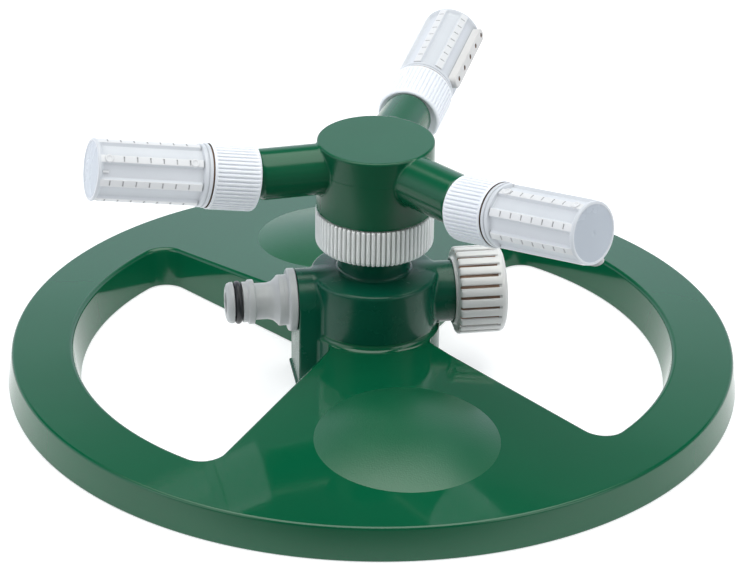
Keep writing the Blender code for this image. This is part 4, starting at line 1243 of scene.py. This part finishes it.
# seen directly, the floor is plain and pale all over; only what it throws back onto the stand falls off in front
path = nt.nodes.new("ShaderNodeLightPath")
plain = nt.nodes.new("ShaderNodeMath")
plain.operation = "MAXIMUM"
nt.links.new(fall.outputs["Result"], plain.inputs[0])
nt.links.new(path.outputs["Is Camera Ray"], plain.inputs[1])
tone = nt.nodes.new("ShaderNodeVectorMath")
tone.operation = "SCALE"
nt.links.new(rmp.outputs["Color"], tone.inputs[0])
nt.links.new(plain.outputs["Value"], tone.inputs["Scale"])
nt.links.new(tone.outputs["Vector"], bs.inputs["Base Color"])
nt.links.new(tone.outputs["Vector"], bs.inputs["Emission Color"])
bs.inputs["Roughness"].default_value = 0.9
bs.inputs["Specular IOR Level"].default_value = 0.0
bs.inputs["Emission Strength"].default_value = 1.10
bpy.ops.mesh.primitive_plane_add(size=60.0, location=(0, 0, -0.0003))
floor = bpy.context.object
floor.name = "floor"
floor.data.materials.append(fm)

# camera as the photograph was taken
e, roll, turn = math.radians(27.169), math.radians(0.933), math.radians(-9.036)
back = Vector((0, -math.cos(e), math.sin(e)))
eye = Vector((-0.59, 0, 35.99)) * MM + back * 1.254
right0, up0 = Vector((1, 0, 0)), Vector((0, math.sin(e), math.cos(e)))
right = right0 * math.cos(roll) + up0 * math.sin(roll)
up = -right0 * math.sin(roll) + up0 * math.cos(roll)
R = Matrix.Rotation(turn, 3, "Z")
eye, right, up, back = R @ eye, R @ right, R @ up, R @ back
cam_data = bpy.data.cameras.new("camera")
cam_data.sensor_width = 36.0
cam_data.lens = 3404.0 / 744.0 * 36.0
cam_data.clip_start, cam_data.clip_end = 0.05, 200.0
cam = bpy.data.objects.new("camera", cam_data)
scene.collection.objects.link(cam)
m = Matrix((right, up, back)).transposed().to_4x4()
m.translation = eye
cam.matrix_world = m
scene.camera = cam

# studio: a pale backdrop near the horizon, a broad soft light overhead and towards the camera
world = bpy.data.worlds.new("studio")
scene.world = world
world.use_nodes = True
nt = world.node_tree
bg = nt.nodes["Background"]
tc = nt.nodes.new("ShaderNodeTexCoord")


def dot(vec):
    n = nt.nodes.new("ShaderNodeVectorMath")
    n.operation = "DOT_PRODUCT"
    n.inputs[1].default_value = vec
    nt.links.new(tc.outputs["Generated"], n.inputs[0])
    return n.outputs["Value"]


def math_node(op, a, b=None, clamp=False):
    n = nt.nodes.new("ShaderNodeMath")
    n.operation = op
    n.use_clamp = clamp
    for k, v in enumerate((a, b)):
        if v is None:
            continue
        if isinstance(v, (int, float)):
            n.inputs[k].default_value = v
        else:
            nt.links.new(v, n.inputs[k])
    return n.outputs["Value"]


flat = Vector((-back.x, -back.y, 0)).normalized()
left_v = Vector((-flat.y, flat.x, 0))
ahead, side_c, height = dot(flat), dot(left_v), dot((0, 0, 1))
angle = math_node("ARCTAN2", height, ahead)
share = math_node("DIVIDE", angle, math.pi)


def bands(stops):
    """Colour ramp over the angle from the far horizon (0) over the top (90) to the near horizon (180)."""
    n = nt.nodes.new("ShaderNodeValToRGB")
    n.color_ramp.interpolation = "EASE"
    els = n.color_ramp.elements
    while len(els) < len(stops):
        els.new(0.5)
    for k, (deg, v, tint) in enumerate(stops):
        els[k].position = deg / 180.0
        els[k].color = (v * tint[0], v * tint[1], v * tint[2], 1)
    nt.links.new(share, n.inputs["Fac"])
    return n.outputs["Color"]


def limits(inner, outer):
    n = nt.nodes.new("ShaderNodeMapRange")
    n.interpolation_type = "SMOOTHSTEP"
    n.inputs["From Min"].default_value, n.inputs["From Max"].default_value = inner, outer
    n.inputs["To Min"].default_value, n.inputs["To Max"].default_value = 1.0, 0.0
    nt.links.new(math_node("ABSOLUTE", side_c), n.inputs["Value"])
    return n.outputs["Result"]


def scaled(colour, factor):
    n = nt.nodes.new("ShaderNodeVectorMath")
    n.operation = "SCALE"
    if isinstance(colour, tuple):
        n.inputs[0].default_value = colour
    else:
        nt.links.new(colour, n.inputs[0])
    if isinstance(factor, float):
        n.inputs["Scale"].default_value = factor
    else:
        nt.links.new(factor, n.inputs["Scale"])
    return n.outputs["Vector"]


def added(a, b):
    n = nt.nodes.new("ShaderNodeVectorMath")
    n.operation = "ADD"
    nt.links.new(a, n.inputs[0])
    nt.links.new(b, n.inputs[1])
    return n.outputs["Vector"]


COOL, WARM, EVEN = (0.93, 0.98, 1.14), (1.0, 1.01, 0.96), (1.0, 1.0, 1.0)
SOFTBOX, FILL_LEFT, FILL_RIGHT = 3.05, 1.4, 1.7
wide, narrow = limits(0.70, 0.95), limits(0.36, 0.60)
wall = bands([(0, 0.95, COOL), (22, 0.94, COOL), (27, 0.78, COOL), (30.5, 0.62, COOL), (33, 0.50, COOL), (35, 0.34, COOL), (37.6, 0.25, COOL), (38.9, 0.04, COOL), (55, 0.02, EVEN),
              (130, 0.04, EVEN), (160, 0.07, EVEN), (171, 0.16, EVEN), (180, 0.26, EVEN)])
box_light = scaled(bands([(0, 0, EVEN), (55, 0, WARM), (61, 1, WARM), (117, 1, WARM), (123, 0, WARM), (180, 0, EVEN)]), SOFTBOX)
rest = nt.nodes.new("ShaderNodeMapRange")
rest.inputs["From Min"].default_value, rest.inputs["From Max"].default_value = -1.0, 1.0
rest.inputs["To Min"].default_value, rest.inputs["To Max"].default_value = 0.31, 0.93
nt.links.new(side_c, rest.inputs["Value"])
side_light = scaled(COOL, math_node("MULTIPLY", rest.outputs["Result"], math_node("SUBTRACT", 1.0, wide)))
between = math_node("MULTIPLY", math_node("SUBTRACT", 1.0, limits(0.42, 0.60)), limits(0.86, 0.98))
gain = nt.nodes.new("ShaderNodeMapRange")
gain.inputs["From Min"].default_value, gain.inputs["From Max"].default_value = -0.3, 0.3
gain.inputs["To Min"].default_value, gain.inputs["To Max"].default_value = FILL_RIGHT, FILL_LEFT
nt.links.new(side_c, gain.inputs["Value"])
fill_light = scaled(bands([(0, 0, EVEN), (92, 0, EVEN), (108, 1, EVEN), (152, 1, EVEN), (166, 0, EVEN), (180, 0, EVEN)]), gain.outputs["Result"])
total = added(added(added(scaled(wall, wide), scaled(box_light, narrow)), side_light), scaled(fill_light, between))
# seen directly, the backdrop is plain
path = nt.nodes.new("ShaderNodeLightPath")
unseen = math_node("SUBTRACT", 1.0, path.outputs["Is Camera Ray"])
total = added(scaled(total, unseen), scaled((1.0, 1.0, 1.0), path.outputs["Is Camera Ray"]))
nt.links.new(total, bg.inputs["Color"])
bg.inputs["Strength"].default_value = 1.0

scene.view_settings.view_transform = "Standard"
scene.view_settings.look = "None"
scene.view_settings.exposure = 0.0
scene.view_settings.gamma = 1.0
